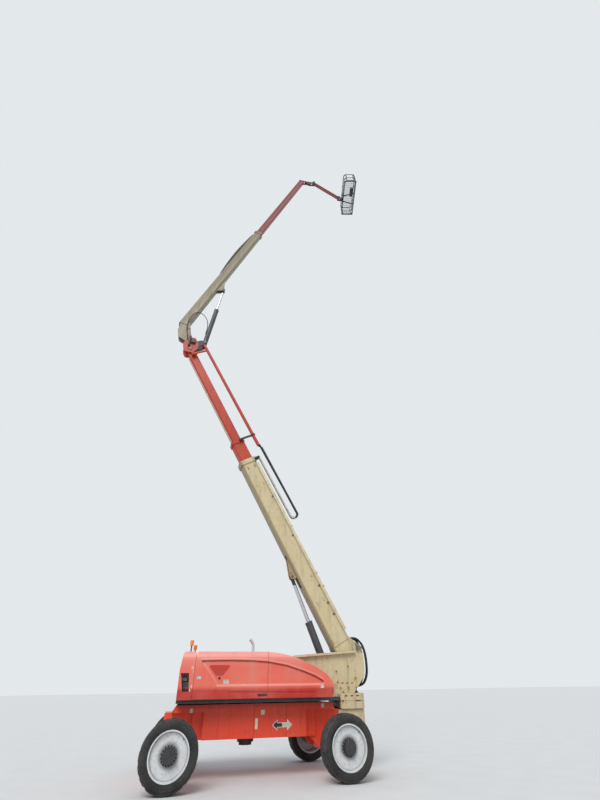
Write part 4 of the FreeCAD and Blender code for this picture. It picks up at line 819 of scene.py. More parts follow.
class PlaceCamera(bpy.types.Operator):
    """The camera, low and looking up along the booms"""
    bl_idname = "boomlift.place_camera"
    bl_label = "Place the camera"

    def execute(self, context):
        scene = context.scene
        camera = bpy.data.cameras.new("camera")
        camera.sensor_fit = "VERTICAL"
        camera.sensor_height = 36.0
        camera.lens = scene.boomlift_sizes.lens
        camera.clip_end = 500.0
        eye = bpy.data.objects.new("camera", camera)
        eye.matrix_world = self.view_matrix(Vector((-1.80, -12.5, 1.6)), 14.3, 37.3, 0.93)
        scene.collection.objects.link(eye)
        scene.camera = eye
        scene.view_settings.view_transform = "Standard"
        return {"FINISHED"}

    def view_matrix(self, place, heading, pitch, roll):
        """A view from a place: turned toward +X, then up, then about its own axis, in degrees."""
        heading, pitch, roll = (math.radians(angle) for angle in (heading, pitch, roll))
        level = Vector((math.sin(heading), math.cos(heading), 0))
        right = Vector((math.cos(heading), -math.sin(heading), 0))
        ahead = math.cos(pitch) * level + math.sin(pitch) * UP
        up = -math.sin(pitch) * level + math.cos(pitch) * UP
        right, up = (math.cos(roll) * right - math.sin(roll) * up,
                     math.sin(roll) * right + math.cos(roll) * up)
        return axes_matrix((right, up, -ahead), place)


# Routes of the hoses: those at the tail in X and height, the looped one from the upright's lower pin.
TAIL_ROUTE = (
    (2.781, 2.7785), (2.900, 2.790), (3.070, 2.660), (3.150, 2.420), (3.165, 2.150), (3.145, 1.900),
    (3.020, 1.690), (2.800, 1.650), (2.790, 1.590), (2.790, 1.5107),
)
TAIL_HOSES = (("low", -0.160, 0.0), ("middle", -0.095, 0.045), ("high", -0.030, -0.040))
HEAD_ROUTE = (
    (-0.190, -0.2213, 0.500), (-0.345, -0.2213, 1.100), (-0.345, -0.2213, 1.750), (-0.150, -0.2213, 2.330),
    (0.200, -0.200, 2.330), (0.440, -0.110, 2.080), (0.532, -0.064, 1.650), (0.480, -0.064, 1.150),
)


def smooth_curve(name, points):
    """A curve object that runs smoothly along a route."""
    curve = bpy.data.curves.new(name, "CURVE")
    curve.dimensions = "3D"
    curve.resolution_u = 10
    spline = curve.splines.new("NURBS")
    spline.points.add(len(points) - 1)
    for control, point in zip(spline.points, points):
        control.co = (*point, 1.0)
    spline.order_u = 3
    spline.use_endpoint_u = True
    hose = bpy.data.objects.new(name, curve)
    bpy.context.scene.collection.objects.link(hose)
    return hose


def curve_length(hose):
    """Length of a curve that has no thickness yet."""
    line = bpy.data.meshes.new_from_object(hose)
    ends = ((line.vertices[a].co, line.vertices[b].co) for a, b in (edge.vertices for edge in line.edges))
    length = sum((start - end).length for start, end in ends)
    bpy.data.meshes.remove(line)
    return length


def lay_hose(name, points, radius, material, body, node):
    """A hydraulic hose on a smooth curve, whose length is measured."""
    hose = smooth_curve(name, points)
    length = curve_length(hose)
    curve = hose.data
    curve.bevel_depth = radius
    curve.bevel_resolution = 5
    curve.use_fill_caps = True
    curve.materials.append(material)
    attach(hose, body)
    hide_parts(node)


class LayHoses(bpy.types.Operator):
    """Hydraulic hoses at the tail and at the head of the tower"""
    bl_idname = "boomlift.lay_hoses"
    bl_label = "Lay the hoses"

    def execute(self, context):
        rubber = rubber_material("hose_cover", tint(24, 24, 26), tint(66, 62, 58), scale=40.0)
        for name, y, spread in TAIL_HOSES:
            points = [(x + (spread if 1 < index < 7 else 0.0), y, z)
                      for index, (x, z) in enumerate(TAIL_ROUTE)]
            lay_hose("tail_hose_" + name, points, 0.026, rubber, "turntable", "tail_hoses")
        points = [tuple(pivot("upright_level") + Vector(point)) for point in HEAD_ROUTE]
        lay_hose("head_hose", points, 0.016, rubber, "upright", "pivot_hose")
        return {"FINISHED"}


class DressWheels(bpy.types.Operator):
    """Wheel nuts, hub covers and valves on the four wheels"""
    bl_idname = "boomlift.dress_wheels"
    bl_label = "Dress the wheels"

    def execute(self, context):
        sizes = context.scene.boomlift_sizes
        dark = metal_material("bolt_steel", tint(64, 64, 66), tint(40, 38, 36), amount=0.5)
        black = plain_material("hub_black", tint(40, 41, 45), 0.42, 0.3)
        for key, out in wheel_corners():
            middle, across, body = centre("tyre_" + key), Vector((0, out, 0)), "wheel_" + key
            face = middle + across * (RIM_HALF - DISC_INSET)
            with piece("wheel_nuts_" + key, dark, body) as nuts:
                self.add_nuts(nuts, face, across, sizes)
            with piece("hub_cover_" + key, black, body) as cover:
                self.add_cover(cover, middle + across * (RIM_HALF + HUB_REACH), across)
            with piece("valve_" + key, black, body) as valve:
                foot = face + Vector((0.24, 0, 0.24))
                lean = Vector((0.012, out * 0.055, 0.012))
                add_rod(valve, foot, foot + lean, 0.007, sides=10, end_radius=0.005)
        return {"FINISHED"}

    def add_nuts(self, nuts, face, across, sizes):
        for index in range(sizes.bolt_count):
            angle = 2 * math.pi * (index + 0.5) / sizes.bolt_count
            spot = face + Vector((math.cos(angle), 0, math.sin(angle))) * sizes.bolt_ring
            add_disc(nuts, spot, across, -0.002, 0.022, 0.0155, sides=6)
            add_disc(nuts, spot, across, 0.020, 0.042, 0.008, sides=8)

    def add_cover(self, cover, cap, across):
        """The hub's cap: a ring with a rounded edge, bolts on its face and a plug in its middle."""
        steps = ((0.124, -0.040), (0.124, -0.0005), (0.1225, 0.0015))
        for (first, low), (last, high) in zip(steps, steps[1:]):
            add_disc(cover, cap, across, low, high, first, sides=36, end_radius=last)
        bolt_circle(cover, cap - across * 0.006, across, 0.088, 10, 0.008)
        add_disc(cover, cap, across, -0.002, 0.003, 0.034, sides=6)


class DressHoods(bpy.types.Operator):
    """Latches, grips, seals, hinge bolts, blank plates and the painted mark on the hoods"""
    bl_idname = "boomlift.dress_hoods"
    bl_label = "Dress the hoods"

    def execute(self, context):
        black = plain_material("trim_black", tint(34, 34, 37), 0.5, 0.25)
        red = plain_material("mark_red", tint(186, 44, 38), 0.45, 0.15)
        blank = plain_material("blank_plate", tint(206, 204, 200), 0.45, 0.45)
        recess = HOOD_HALF - HOOD_RECESS
        for side in SIDES:
            with piece("hood_trim_" + side, black, side + "_hood") as trim:
                self.add_latch(trim, side, recess)
                self.add_grip(trim, side)
                self.add_seal(trim, side)
            with piece("hinge_bolts_" + side, black, side + "_hood") as bolts:
                self.add_hinge_bolts(bolts, side)
        with piece("painted_mark", red, "near_hood") as mark:
            outline = [(-0.762, 2.074), (-0.795, 2.096), (-1.225, 2.096), (-1.262, 2.070), (-1.085, 1.889),
                       (-0.925, 1.889)]
            side_plate(mark, "near", recess, rounded(outline, 0.022), 0.0012)
        with piece("blank_plates", blank, "near_hood") as plates:
            for x, z, wide, tall, face in ((-0.836, 1.772, 0.135, 0.075, recess),
                                           (-1.481, 1.851, 0.100, 0.062, HOOD_HALF),
                                           (1.533, 1.656, 0.080, 0.060, HOOD_HALF)):
                side_plate(plates, "near", face, card(x, z, wide, tall, 0.006), 0.0012)
        return {"FINISHED"}

    def add_latch(self, trim, side, recess):
        side_plate(trim, side, recess, rectangle(-1.024, -0.974, 1.818, 1.866, 0.008), 0.012)
        side_plate(trim, side, recess + 0.012, rectangle(-1.012, -0.986, 1.836, 1.862, 0.005), 0.008)

    def add_grip(self, trim, side):
        side_plate(trim, side, HOOD_HALF - 0.016, rectangle(-0.075, 0.150, 1.487, 1.532, 0.018), 0.006)
        side_plate(trim, side, HOOD_HALF - 0.010, rectangle(-0.050, 0.125, 1.500, 1.520, 0.009), 0.010)

    def add_seal(self, trim, side):
        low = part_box("hood_" + side)[0]
        outer = OUT[side] * HOOD_HALF
        inner = outer - OUT[side] * 0.013
        add_block(trim, (low[0] + 0.02, min(outer, inner), low[2] - 0.0002),
                  (1.70, max(outer, inner), low[2] + 0.010), 0.003)

    def add_hinge_bolts(self, bolts, side):
        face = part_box("hood_" + side)[1][2] - 0.0222
        for start in (-1.370, -0.430):
            for step in (0.05, 0.10, 0.15):
                for across in (0.468, 0.490):
                    hexagon_bolt(bolts, (start + step, OUT[side] * across, face), UP, 0.008, 0.007)


class DressControls(bpy.types.Operator):
    """Face plates, switches, blank screen and stop button of the ground controls"""
    bl_idname = "boomlift.dress_controls"
    bl_label = "Dress the ground controls"

    def execute(self, context):
        black = plain_material("switch_black", tint(26, 26, 28), 0.4, 0.2)
        grey = plain_material("panel_grey", tint(118, 120, 122), 0.5, 0.4)
        red = plain_material("stop_red", tint(200, 30, 24), 0.3, 0.1)
        face = -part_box("control_panel")[0][1]
        with piece("panel_plates", grey, "turntable") as panel:
            side_plate(panel, "near", face, rectangle(-1.868, -1.742, 1.800, 1.930, 0.012), 0.003)
            lower = [(-1.838, 1.770), (-1.690, 1.770), (-1.690, 1.640), (-1.824, 1.640)]
            side_plate(panel, "near", SWITCH_FACE, rounded(lower, 0.012), 0.002)
        with piece("panel_switches", black, "turntable") as parts:
            for row, z in enumerate((1.752, 1.700)):
                for x in (-1.812, -1.782, -1.752, -1.722):
                    self.add_switch(parts, x + row * 0.006, z)
            screen = rectangle(-1.850, -1.760, 1.855, 1.915, 0.006)
            side_plate(parts, "near", face + 0.003, screen, 0.003)
        with piece("stop_button", red, "turntable") as stop:
            place = (-1.712, -SWITCH_FACE, 1.655)
            add_disc(stop, place, (0, -1, 0), 0.0, 0.024, 0.011, sides=18)
            add_disc(stop, place, (0, -1, 0), 0.022, 0.036, 0.021, sides=24, end_radius=0.017)
        return {"FINISHED"}

    def add_switch(self, parts, x, z):
        """A round base and a lever that hangs a little."""
        add_disc(parts, (x, -SWITCH_FACE, z), (0, -1, 0), 0.0, 0.010, 0.010, sides=14)
        add_rod(parts, (x, -SWITCH_FACE - 0.008, z), (x, -SWITCH_FACE - 0.028, z - 0.008), 0.004, sides=8)


class DressChassis(bpy.types.Operator):
    """Travel mark, blank plates, bolts and kingpin fittings on the chassis and its axles"""
    bl_idname = "boomlift.dress_chassis"
    bl_label = "Dress the chassis"

    def execute(self, context):
        cream = plain_material("mark_cream", tint(222, 212, 184), 0.45, 0.25)
        steel = metal_material("chassis_bolts", tint(120, 118, 116), tint(110, 70, 50), amount=0.5)
        self.add_travel_mark(cream)
        with piece("chassis_plates", cream, "chassis") as plates:
            for x, z, wide, tall in ((0.156, 1.172, 0.088, 0.088), (0.010, 0.963, 0.062, 0.200),
                                     (-1.546, 1.233, 0.075, 0.075), (1.681, 1.273, 0.080, 0.080)):
                side_plate(plates, "near", CHASSIS_HALF, card(x, z, wide, tall, 0.008), 0.0012)
        with piece("chassis_bolts", steel, "chassis") as bolts:
            places = [(x, z) for x in (-0.30, -0.18, 0.86, 0.98) for z in (0.80, 1.10)]
            for side in SIDES:
                side_bolts(bolts, OUT[side], CHASSIS_HALF, places, 0.010)
            level_bolt_circle(bolts, (0, 0, 1.340), 1, 0.655, 36, 0.011, 0.014)
            level_bolt_circle(bolts, (-0.150, 0, 0.605), -1, 0.178, 10, 0.009, 0.008)
        for key, out in wheel_corners():
            with piece("axle_fittings_" + key, steel, "axle_part_" + key) as fittings:
                self.add_axle_fittings(fittings, key, out)
        return {"FINISHED"}

    def add_travel_mark(self, cream):
        """The arrow that points both ways: white with a black half and a cream half laid on it."""
        white = plain_material("mark_white", tint(232, 230, 224), 0.45, 0.25)
        black = plain_material("mark_black", tint(26, 25, 28), 0.5, 0.15)
        middle = (0.642, 0.925)
        tip, head, stem, notch = 0.246, 0.104, 0.044, 0.118
        point, edge, rim, gap = 0.022, 0.022, 0.010, 0.004
        arrow = [(-tip, 0.0), (-notch, head), (-notch, stem), (notch, stem), (notch, head), (tip, 0.0),
                 (notch, -head), (notch, -stem), (-notch, -stem), (-notch, -head)]
        upper = [(-notch - rim, head - edge), (-notch - rim, stem - rim), (-gap, stem - rim)]
        left = [(-tip + point, 0.0), *upper, *((x, -z) for x, z in reversed(upper))]
        right = [(-x, z) for x, z in left]
        layers = ((white, arrow, 0.0012, 0.0), (black, left, 0.0008, 0.0012), (cream, right, 0.0008, 0.0012))
        for index, (material, outline, thickness, lift) in enumerate(layers):
            placed = [(middle[0] + x, middle[1] + z) for x, z in outline]
            with piece("travel_mark_%d" % index, material, "chassis") as mark:
                side_plate(mark, "near", CHASSIS_HALF + lift, placed, thickness)

    def add_axle_fittings(self, fittings, key, out):
        """Cap, bolts and grease nipple over the kingpin, and two bolts farther in."""
        low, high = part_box("axle_" + key)
        steer = pivot("steer_" + key)
        kingpin = Vector((steer.x, steer.y, high[2]))
        add_disc(fittings, kingpin, UP, 0.0, 0.014, 0.058, sides=24)
        bolt_circle(fittings, kingpin + UP * 0.014, UP, 0.040, 6, 0.007)
        add_disc(fittings, kingpin, UP, 0.012, 0.034, 0.006, sides=8)
        middle = (low[0] + high[0]) / 2
        outer = high[1] if out > 0 else low[1]
        for x in (-0.06, 0.06):
            hexagon_bolt(fittings, (middle + x, outer - out * 0.30, high[2]), UP, 0.010)


class DressTail(bpy.types.Operator):
    """Dark plates of painted shade in the tail weight's pockets, bolts and pivot pins on the tail and its
    slabs
    """
    bl_idname = "boomlift.dress_tail"
    bl_label = "Dress the tail"

    def execute(self, context):
        dark = plain_material("pocket_dark", tint(38, 34, 30), 0.8, 0.4)
        steel = metal_material("tail_steel", tint(120, 116, 110), tint(112, 72, 50))
        low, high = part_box("tail_weight")
        # Painted shade: dark plates stand for the hollows of the weight's pockets.
        with piece("weight_pockets", dark, "turntable") as pockets:
            for x in (2.36, 2.52, 2.68):
                for side in SIDES:
                    outline = rectangle(x - 0.038, x + 0.038, 1.440, 1.464, 0.008)
                    side_plate(pockets, side, high[1], outline, 0.0012)
        with piece("tail_fasteners", steel, "turntable") as bolts:
            self.add_frame_bolts(bolts)
            for x in (2.34, 2.74):
                for y in (-0.40, 0.40):
                    add_disc(bolts, (x, y, high[2]), UP, -0.001, 0.016, 0.034, sides=6)
                    add_disc(bolts, (x, y, high[2]), UP, 0.014, 0.040, 0.017, sides=16)
        slab_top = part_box("end_weights")[1][2]
        with piece("slab_bolts", steel, "chassis") as bolts:
            for x in (2.36, 2.72):
                for y in (-0.25, 0.25):
                    add_disc(bolts, (x, y, slab_top), UP, -0.001, 0.007, 0.026, sides=6)
        return {"FINISHED"}

    def add_frame_bolts(self, bolts):
        hinge = pivot("tower_lift")
        places = ((2.08, 1.62), (2.30, 1.62), (2.52, 1.62), (2.74, 1.62), (2.20, 1.98), (2.55, 2.10),
                  (2.75, 1.84))
        for side in SIDES:
            out = OUT[side]
            side_bolts(bolts, out, TAIL_HALF, places, 0.016, tall=0.013)
            pin_cap(bolts, (hinge.x, out * TAIL_HALF, hinge.z), out, 0.062, keeper=28.0)


def boom_collar(mesh_data, axes, section, lift, mouth, proud):
    """Screws of the wear pads round a boom's mouth."""
    half_w, half_d = section["wide"] / 2 + proud, section["deep"] / 2 + proud
    turn = axes.to_3x3()
    for shift in (0.030, 0.090):
        x = section["tip"] + mouth - shift
        for share in (-0.55, 0.55):
            for sign in (-1, 1):
                spot = axes @ Vector((x, share * half_w, lift + sign * half_d))
                hexagon_bolt(mesh_data, spot, turn @ Vector((0, 0, sign)), 0.011)
                spot = axes @ Vector((x, sign * half_w, lift + share * half_d))
                hexagon_bolt(mesh_data, spot, turn @ Vector((0, sign, 0)), 0.011)


class DressTower(bpy.types.Operator):
    """Collar screws, inspection covers, pins, pipes, rail and clamps of the tower boom"""
    bl_idname = "boomlift.dress_tower"
    bl_label = "Dress the tower boom"
    back = TOWER_LIFT - TOWER_BASE["deep"] / 2
    face = TOWER_BASE["wide"] / 2
    pipe_z = TOWER_LIFT - 0.20

    def execute(self, context):
        steel = metal_material("tower_steel", tint(112, 108, 104), tint(110, 70, 48))
        black = plain_material("tower_black", tint(30, 30, 33), 0.55, 0.3)
        pale = plain_material("rail_cream", tint(214, 200, 162), 0.5, 0.3)
        axes = tower_axes()
        with piece("tower_base_screws", steel, "tower_base_part") as base:
            self.add_base_screws(base, axes)
        with piece("tower_covers", black, "tower_base_part") as covers:
            self.add_covers(covers, axes)
        with piece("tower_pipes", steel, "tower_base_part") as pipes:
            for index in range(3):
                y, z = self.face + 0.0125, self.pipe_z + 0.032 + 0.033 * index
                add_rod(pipes, axes @ Vector((0.62, y, z)), axes @ Vector((6.20, y, z)), 0.010)
        with piece("tower_rail", pale, "tower_base_part") as rail:
            self.add_rail(rail, axes)
        with piece("tower_clamps", steel, "tower_base_part") as clamps:
            self.add_clamps(clamps, axes)
        with piece("tower_middle_screws", steel, "tower_middle_part") as middle:
            boom_collar(middle, axes, TOWER_MIDDLE, TOWER_LIFT, 0.01, 0.025)
        with piece("tower_fly_screws", steel, "tower_fly_part") as fly:
            self.add_fly_screws(fly, axes)
        return {"FINISHED"}

    def add_base_screws(self, base, axes):
        boom_collar(base, axes, TOWER_BASE, TOWER_LIFT, 0.02, 0.032)
        places = [(x, TOWER_LIFT + z) for x in (1.5, 1.56, 5.6, 5.66) for z in (-0.12, 0.12)]
        for side in SIDES:
            side_bolts(base, OUT[side], self.face, places, 0.010, axes)
            pin_cap(base, axes @ Vector((2.55, OUT[side] * 0.124, 0.708)), OUT[side], 0.036)

    def add_covers(self, covers, axes):
        """Inspection covers on the back and the clips that hold the pipes on the far side."""
        for x in (1.2, 3.0, 4.8):
            add_block(covers, (x, -0.12, self.back - 0.004), (x + 0.36, 0.12, self.back + 0.001), 0.002, axes)
        for index in range(11):
            x = 0.75 + 0.52 * index
            add_block(covers, (x, self.face - 0.001, self.pipe_z),
                      (x + 0.035, self.face + 0.024, self.pipe_z + 0.13), 0.004, axes)

    def add_rail(self, rail, axes):
        """The rail along the back edge of the near side, with small round lugs on it."""
        outer, back = -self.face - 0.026, self.back
        add_block(rail, (0.56, outer, back - 0.034), (6.44, outer + 0.006, back + 0.052), 0.002, axes)
        add_block(rail, (0.56, outer + 0.004, back + 0.040), (6.44, -self.face + 0.001, back + 0.048), 0.002,
                  axes)
        for x in (1.85, 2.27, 3.90):
            foot = Vector((x, outer, back - 0.036))
            add_rod(rail, axes @ foot, axes @ (foot + Vector((0, 0.012, 0))), 0.032, sides=20)

    def add_clamps(self, clamps, axes):
        outer, inner = -self.face - 0.020, -self.face + 0.001
        low = self.back + 0.060
        for x in (1.03, 1.37, 1.90, 3.60, 5.06):
            add_block(clamps, (x, outer, low), (x + 0.055, inner, low + 0.060), 0.004, axes)
            spot = axes @ Vector((x + 0.028, outer, low + 0.030))
            hexagon_bolt(clamps, spot, (0, -1, 0), 0.010, 0.005)
        for z in (0.16, 0.42):
            add_block(clamps, (6.32, outer + 0.004, z), (6.43, inner, z + 0.022), 0.003, axes)

    def add_fly_screws(self, fly, axes):
        """Bolts at the tip and the bands round the hose tube."""
        places = [(x, TOWER_LIFT + z) for x in (11.65, 11.85, 12.05) for z in (-0.09, 0.09)]
        for side in SIDES:
            side_bolts(fly, OUT[side], 0.145, places, 0.011, axes)
        along = axes.to_3x3() @ Vector((1, 0, 0))
        for index in range(8):
            spot = axes @ Vector((8.27 + 0.52 * index, HOSE_TUBE_Y, -0.300))
            add_disc(fly, spot, along, -0.012, 0.012, 0.0625, sides=28)


def chain_place(distance, low, high, bend, start, turn_at):
    """Where a link lies: out along the low run, round the bend and back along the high run."""
    middle = (low + high) / 2
    radius = abs(high - low) / 2
    run = turn_at - bend - start
    if distance < run:
        return start + distance, low, 0.0
    arc = math.pi * radius
    if distance < run + arc:
        angle = (distance - run) / radius
        return turn_at - bend + radius * math.sin(angle), middle + (low - middle) * math.cos(angle), angle
    return turn_at - bend - (distance - run - arc), high, math.pi


class DressChain(bpy.types.Operator):
    """Link plates of the hose chain: a black outer strand and a pale inner one"""
    bl_idname = "boomlift.dress_chain"
    bl_label = "Dress the hose chain"

    def execute(self, context):
        black = plain_material("chain_black", tint(26, 26, 28), 0.5, 0.3)
        pale = plain_material("chain_pale", tint(196, 190, 176), 0.5, 0.4)
        with piece("chain_links_low", pale, "tower_base_part") as inner:
            with piece("chain_links_high", black, "tower_base_part") as outer:
                self.lay_links(outer, inner)
        return {"FINISHED"}

    def lay_links(self, outer, inner):
        """Links a pitch apart along the chain, the first half on the inner strand."""
        axes = tower_axes()
        start, turn_at, low, high, bend = -6.56, -4.08, -0.09, -0.345, 0.1275
        total = (turn_at - bend - start) + math.pi * abs(high - low) / 2 + (6.95 + turn_at - bend)
        pitch, sag, run = 0.062, 0.010, 2.8
        for index in range(int(total / pitch)):
            along, up, angle = chain_place((index + 0.5) * pitch, low, high, bend, start, turn_at)
            if angle >= math.pi:
                up -= sag * (-along - 4.2) / run
            place = axes @ Matrix.Translation((-along, -0.311, up)) @ Matrix.Rotation(angle, 4, "Y")
            self.add_link(inner if angle < math.pi / 2 else outer, place)

    def add_link(self, mesh_data, place):
        """Two side plates, two cross bars and the heads of the pin."""
        for side in (-1, 1):
            y = side * 0.036
            add_block(mesh_data, (-0.034, y - 0.003, -0.026), (0.034, y + 0.003, 0.026), 0.0, place)
        for z in (-0.0255, 0.0235):
            add_block(mesh_data, (-0.007, -0.036, z), (0.007, 0.036, z + 0.002), 0.0, place)
        for side in (-1, 1):
            foot = place @ Vector((0.025, side * 0.037, 0.0))
            add_disc(mesh_data, foot, (0, side, 0), 0.0, 0.006, 0.008, sides=10)


class DressHead(bpy.types.Operator):
    """Pins, keeper plates and bolts where tower, upright and main boom meet"""
    bl_idname = "boomlift.dress_head"
    bl_label = "Dress the head of the tower"

    def execute(self, context):
        steel = metal_material("head_steel", tint(116, 112, 108), tint(108, 66, 44), roughness=0.42)
        low_pin, high_pin, foot = map(pivot, ("upright_level", "main_lift", "main_barrel_swing"))
        both = ((-0.20, 0.30), (-0.20, -0.08), (0.14, -0.12), (0.19, 0.40), (-0.16, 0.52))
        behind_hose = ((0.05, 0.56),)
        with piece("head_pins", steel, "upright") as head:
            for side in SIDES:
                out = OUT[side]
                pin_cap(head, (low_pin.x, out * 0.220, low_pin.z), out, 0.060, keeper=-20.0)
                pin_cap(head, (foot.x, out * 0.182, foot.z), out, 0.044, keeper=60.0)
                places = both if side == "near" else both + behind_hose
                side_bolts(head, out, 0.205, [(low_pin.x + x, low_pin.z + z) for x, z in places], 0.012)
        with piece("root_pin_keepers", steel, "main_base_part") as root:
            for side in SIDES:
                place = (high_pin.x, OUT[side] * 0.1505, high_pin.z)
                pin_cap(root, place, OUT[side], 0.066, keeper=35.0)
        return {"FINISHED"}


class DressMainBoom(bpy.types.Operator):
    """Collar screws, hose clips, lug pins and the hose guard on the main boom"""
    bl_idname = "boomlift.dress_main_boom"
    bl_label = "Dress the main boom"
    top = MAIN_LIFT + MAIN_BASE["deep"] / 2

    def execute(self, context):
        steel = metal_material("main_steel", tint(116, 112, 108), tint(112, 70, 48))
        black = plain_material("main_black", tint(28, 28, 31), 0.55, 0.3)
        axes = main_axes()
        with piece("main_base_screws", steel, "main_base_part") as base:
            self.add_base_screws(base, axes)
        with piece("main_hose_clips", black, "main_base_part") as clips:
            self.add_clips(clips, axes)
        with piece("main_hose_guard", black, "main_base_part") as guard:
            self.add_guard(guard, axes)
        with piece("main_fly_pins", steel, "main_fly_part") as fly:
            self.add_fly_pins(fly, axes)
        return {"FINISHED"}

    def add_base_screws(self, base, axes):
        boom_collar(base, axes, MAIN_BASE, MAIN_LIFT, 0.02, 0.025)
        places = [(x, MAIN_LIFT + z) for x in (0.95, 1.05, 8.4, 8.5) for z in (-0.08, 0.08)]
        for side in SIDES:
            pin_cap(base, axes @ Vector((3.50, OUT[side] * 0.124, -0.170)), OUT[side], 0.034)
            side_bolts(base, OUT[side], 0.170, places, 0.010, axes)

    def add_clips(self, clips, axes):
        """Straps over the arched hoses and the feet under them."""
        for index in range(10):
            x = 5.25 + 0.40 * index
            rise = 0.098 + 0.010 * math.sin(math.pi * (x - 4.9) / 4.4)
            add_block(clips, (x, -0.077, self.top + 0.030), (x + 0.030, 0.077, self.top + rise), 0.004, axes)
        for x in (5.10, 6.30, 7.50, 8.70):
            add_block(clips, (x, -0.030, self.top - 0.001), (x + 0.050, 0.030, self.top + 0.040), 0.003, axes)

    def add_guard(self, guard, axes):
        """Two arched plates beside the hoses."""
        start, end, steps = 4.62, 9.25, 16
        upper, lower = [], []
        for index in range(steps + 1):
            x = start + (end - start) * index / steps
            arch = math.sin(math.pi * (x - start) / (end - start))
            height = self.top + 0.052 + 0.105 * arch
            upper.append((x, height))
            lower.append((x, height - 0.050 - 0.062 * arch))
        for y in (-0.074, 0.080):
            facing = Matrix(((1, 0, 0, 0), (0, 0, -1, y), (0, 1, 0, 0), (0, 0, 0, 1)))
            add_plate(guard, lower + upper[::-1], 0.006, axes @ facing)

    def add_fly_pins(self, fly, axes):
        hinge = pivot("jib_level")
        places = [(x, MAIN_LIFT + z) for z in (-0.10, 0.10) for x in (18.35, 18.55)]
        for side in SIDES:
            pin_cap(fly, (hinge.x, OUT[side] * 0.1205, hinge.z), OUT[side], 0.042)
            side_bolts(fly, OUT[side], 0.135, places, 0.009, axes)


class DressPlatform(bpy.types.Operator):
    """Pins of the jib, clamps on the platform's rails, and the console's levers and stop button"""
    bl_idname = "boomlift.dress_platform"
    bl_label = "Dress the platform"

    def execute(self, context):
        steel = metal_material("jib_steel", tint(110, 108, 106), tint(100, 66, 46), amount=0.5)
        black = plain_material("platform_black", tint(30, 30, 33), 0.5, 0.25)
        grey = plain_material("platform_grey", tint(104, 106, 110), 0.5, 0.35)
        red = plain_material("platform_red", tint(186, 40, 34), 0.35, 0.15)
        for joint, body in (("jib_lift", "jib_swing_part"), ("jib_upper_follow", "jib_swing_part"),
                            ("jib_head_level", "jib_head_part")):
            with piece("pins_" + joint, steel, body) as pins:
                for side in SIDES:
                    place = (pivot(joint).x, OUT[side] * 0.1185, pivot(joint).z)
                    pin_cap(pins, place, OUT[side], 0.034)
        axes = platform_axes()
        with piece("rail_clamps", black, "platform") as clamps:
            self.add_clamps(clamps, axes)
        with piece("console_levers", black, "platform") as levers:
            for y in (-0.22, -0.08, 0.08, 0.22):
                self.add_lever(levers, axes, Vector((CONSOLE_X + 0.09, y, CONSOLE_Z)))
        with piece("console_plate", grey, "platform") as plate:
            add_block(plate, (CONSOLE_X + 0.030, -0.270, CONSOLE_Z - 0.001),
                      (CONSOLE_X + 0.190, 0.270, CONSOLE_Z + 0.003), 0.002, axes)
        with piece("console_stop", red, "platform") as stop:
            foot = axes @ Vector((CONSOLE_X + 0.145, 0.0, CONSOLE_Z))
            add_disc(stop, foot, UP, 0.0, 0.022, 0.012, sides=16)
            add_disc(stop, foot, UP, 0.020, 0.034, 0.022, sides=24, end_radius=0.018)
        return {"FINISHED"}

    def add_clamps(self, clamps, axes):
        """Clamps where the posts cross the toe board, the middle rail and the top rail."""
        inset, share = 0.019, 0.86 * PLATFORM_LONG / 2
        for y in (-share, 0.0, share):
            for x in (PLATFORM_BACK + inset, PLATFORM_BACK + PLATFORM_WIDE - inset):
                for z in (FLOOR_LOW + 0.150, FLOOR_LOW + 0.59, FLOOR_LOW + 1.14):
                    add_block(clamps, (x - 0.024, y - 0.028, z - 0.048), (x + 0.024, y + 0.028, z - 0.002),
                              0.004, axes)

    def add_lever(self, levers, axes, foot):
        """A round boot, a leaning lever and its knob."""
        lean = Vector((0.010, 0.0, 0.075))
        add_rod(levers, axes @ foot, axes @ (foot + UP * 0.016), 0.024, sides=18)
        add_rod(levers, axes @ (foot + UP * 0.010), axes @ (foot + lean), 0.006, sides=10)
        add_rod(levers, axes @ (foot + lean), axes @ (foot + lean * 1.4), 0.014, sides=16, end_radius=0.012)


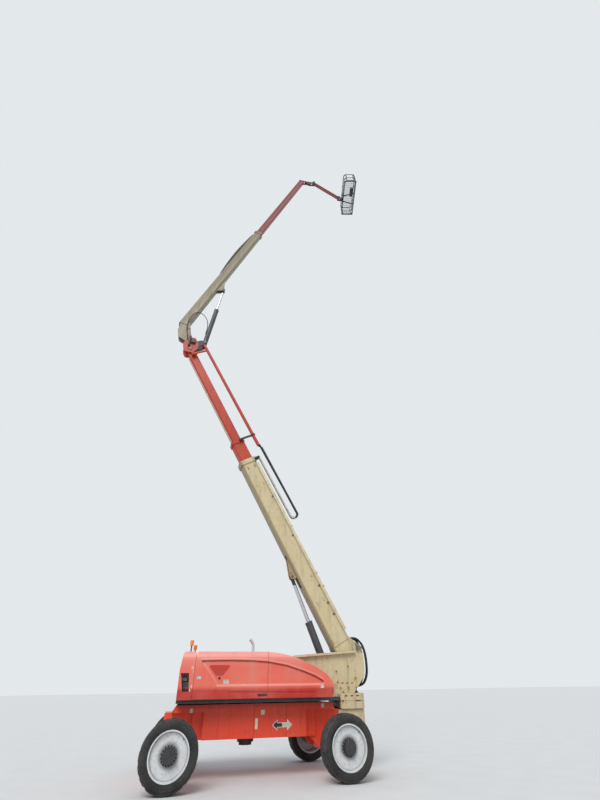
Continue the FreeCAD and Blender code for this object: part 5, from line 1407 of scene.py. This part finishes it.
class DressEngine(bpy.types.Operator):
    """Caps, ribs and pulleys on the engine's plain block"""
    bl_idname = "boomlift.dress_engine"
    bl_label = "Dress the engine"

    def execute(self, context):
        black = plain_material("engine_black", tint(34, 34, 36), 0.6, 0.5)
        grey = plain_material("engine_grey", tint(112, 114, 116), 0.5, 0.6, metallic=0.3)
        low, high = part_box("engine_block")
        face, out = low[1] + 0.006, Vector((0, -1, 0))
        with piece("engine_covers", grey, "turntable") as parts:
            for index in range(4):
                place = Vector((low[0] + 0.30 + 0.22 * index, face, high[2] - 0.16))
                add_disc(parts, place, out, 0.0, 0.018, 0.050, sides=24)
                bolt_circle(parts, place + out * 0.018, out, 0.038, 4, 0.006)
            for index in range(6):
                z = low[2] + 0.10 + 0.055 * index
                add_block(parts, (low[0] + 0.10, face - 0.014, z), (high[0] - 0.55, face, z + 0.018), 0.003)
        with piece("engine_pulleys", black, "turntable") as pulleys:
            for back, rise, radius in ((0.34, 0.16, 0.090), (0.12, 0.30, 0.055), (0.38, 0.40, 0.062)):
                place = (high[0] - back, face, low[2] + rise)
                add_disc(pulleys, place, out, 0.0, 0.020, radius, sides=32)
                add_disc(pulleys, place, out, 0.018, 0.030, radius * 0.35, sides=6)
        return {"FINISHED"}


STEPS = (
    PlaceCamera, LayHoses, FinishFrame, DressWheels, DressHoods, DressControls, DressChassis, DressTail,
    DressTower, DressChain, DressHead, DressMainBoom, DressPlatform, DressEngine, BuildStage,
)
CLASSES = (BoomLiftColours, BoomLiftSizes, *STEPS)


class BoomLiftPanel(bpy.types.Panel):
    """Lists the steps that dress the boom lift"""
    bl_label = "Boom Lift"
    bl_idname = "VIEW3D_PT_boomlift"
    bl_space_type = "VIEW_3D"
    bl_region_type = "UI"
    bl_category = "Boom Lift"

    def draw(self, context):
        for step in STEPS:
            self.layout.operator(step.bl_idname)
        for group in (context.scene.boomlift_colours, context.scene.boomlift_sizes):
            for key in group.__annotations__:
                self.layout.prop(group, key)


def register():
    for item in (*CLASSES, BoomLiftPanel):
        bpy.utils.register_class(item)
    bpy.types.Scene.boomlift_colours = bpy.props.PointerProperty(type=BoomLiftColours)
    bpy.types.Scene.boomlift_sizes = bpy.props.PointerProperty(type=BoomLiftSizes)


def unregister():
    del bpy.types.Scene.boomlift_sizes
    del bpy.types.Scene.boomlift_colours
    for item in reversed((*CLASSES, BoomLiftPanel)):
        bpy.utils.unregister_class(item)


def main():
    register()
    for step in STEPS:
        group, name = step.bl_idname.split(".")
        getattr(getattr(bpy.ops, group), name)()


if __name__ == "__main__":
    main()
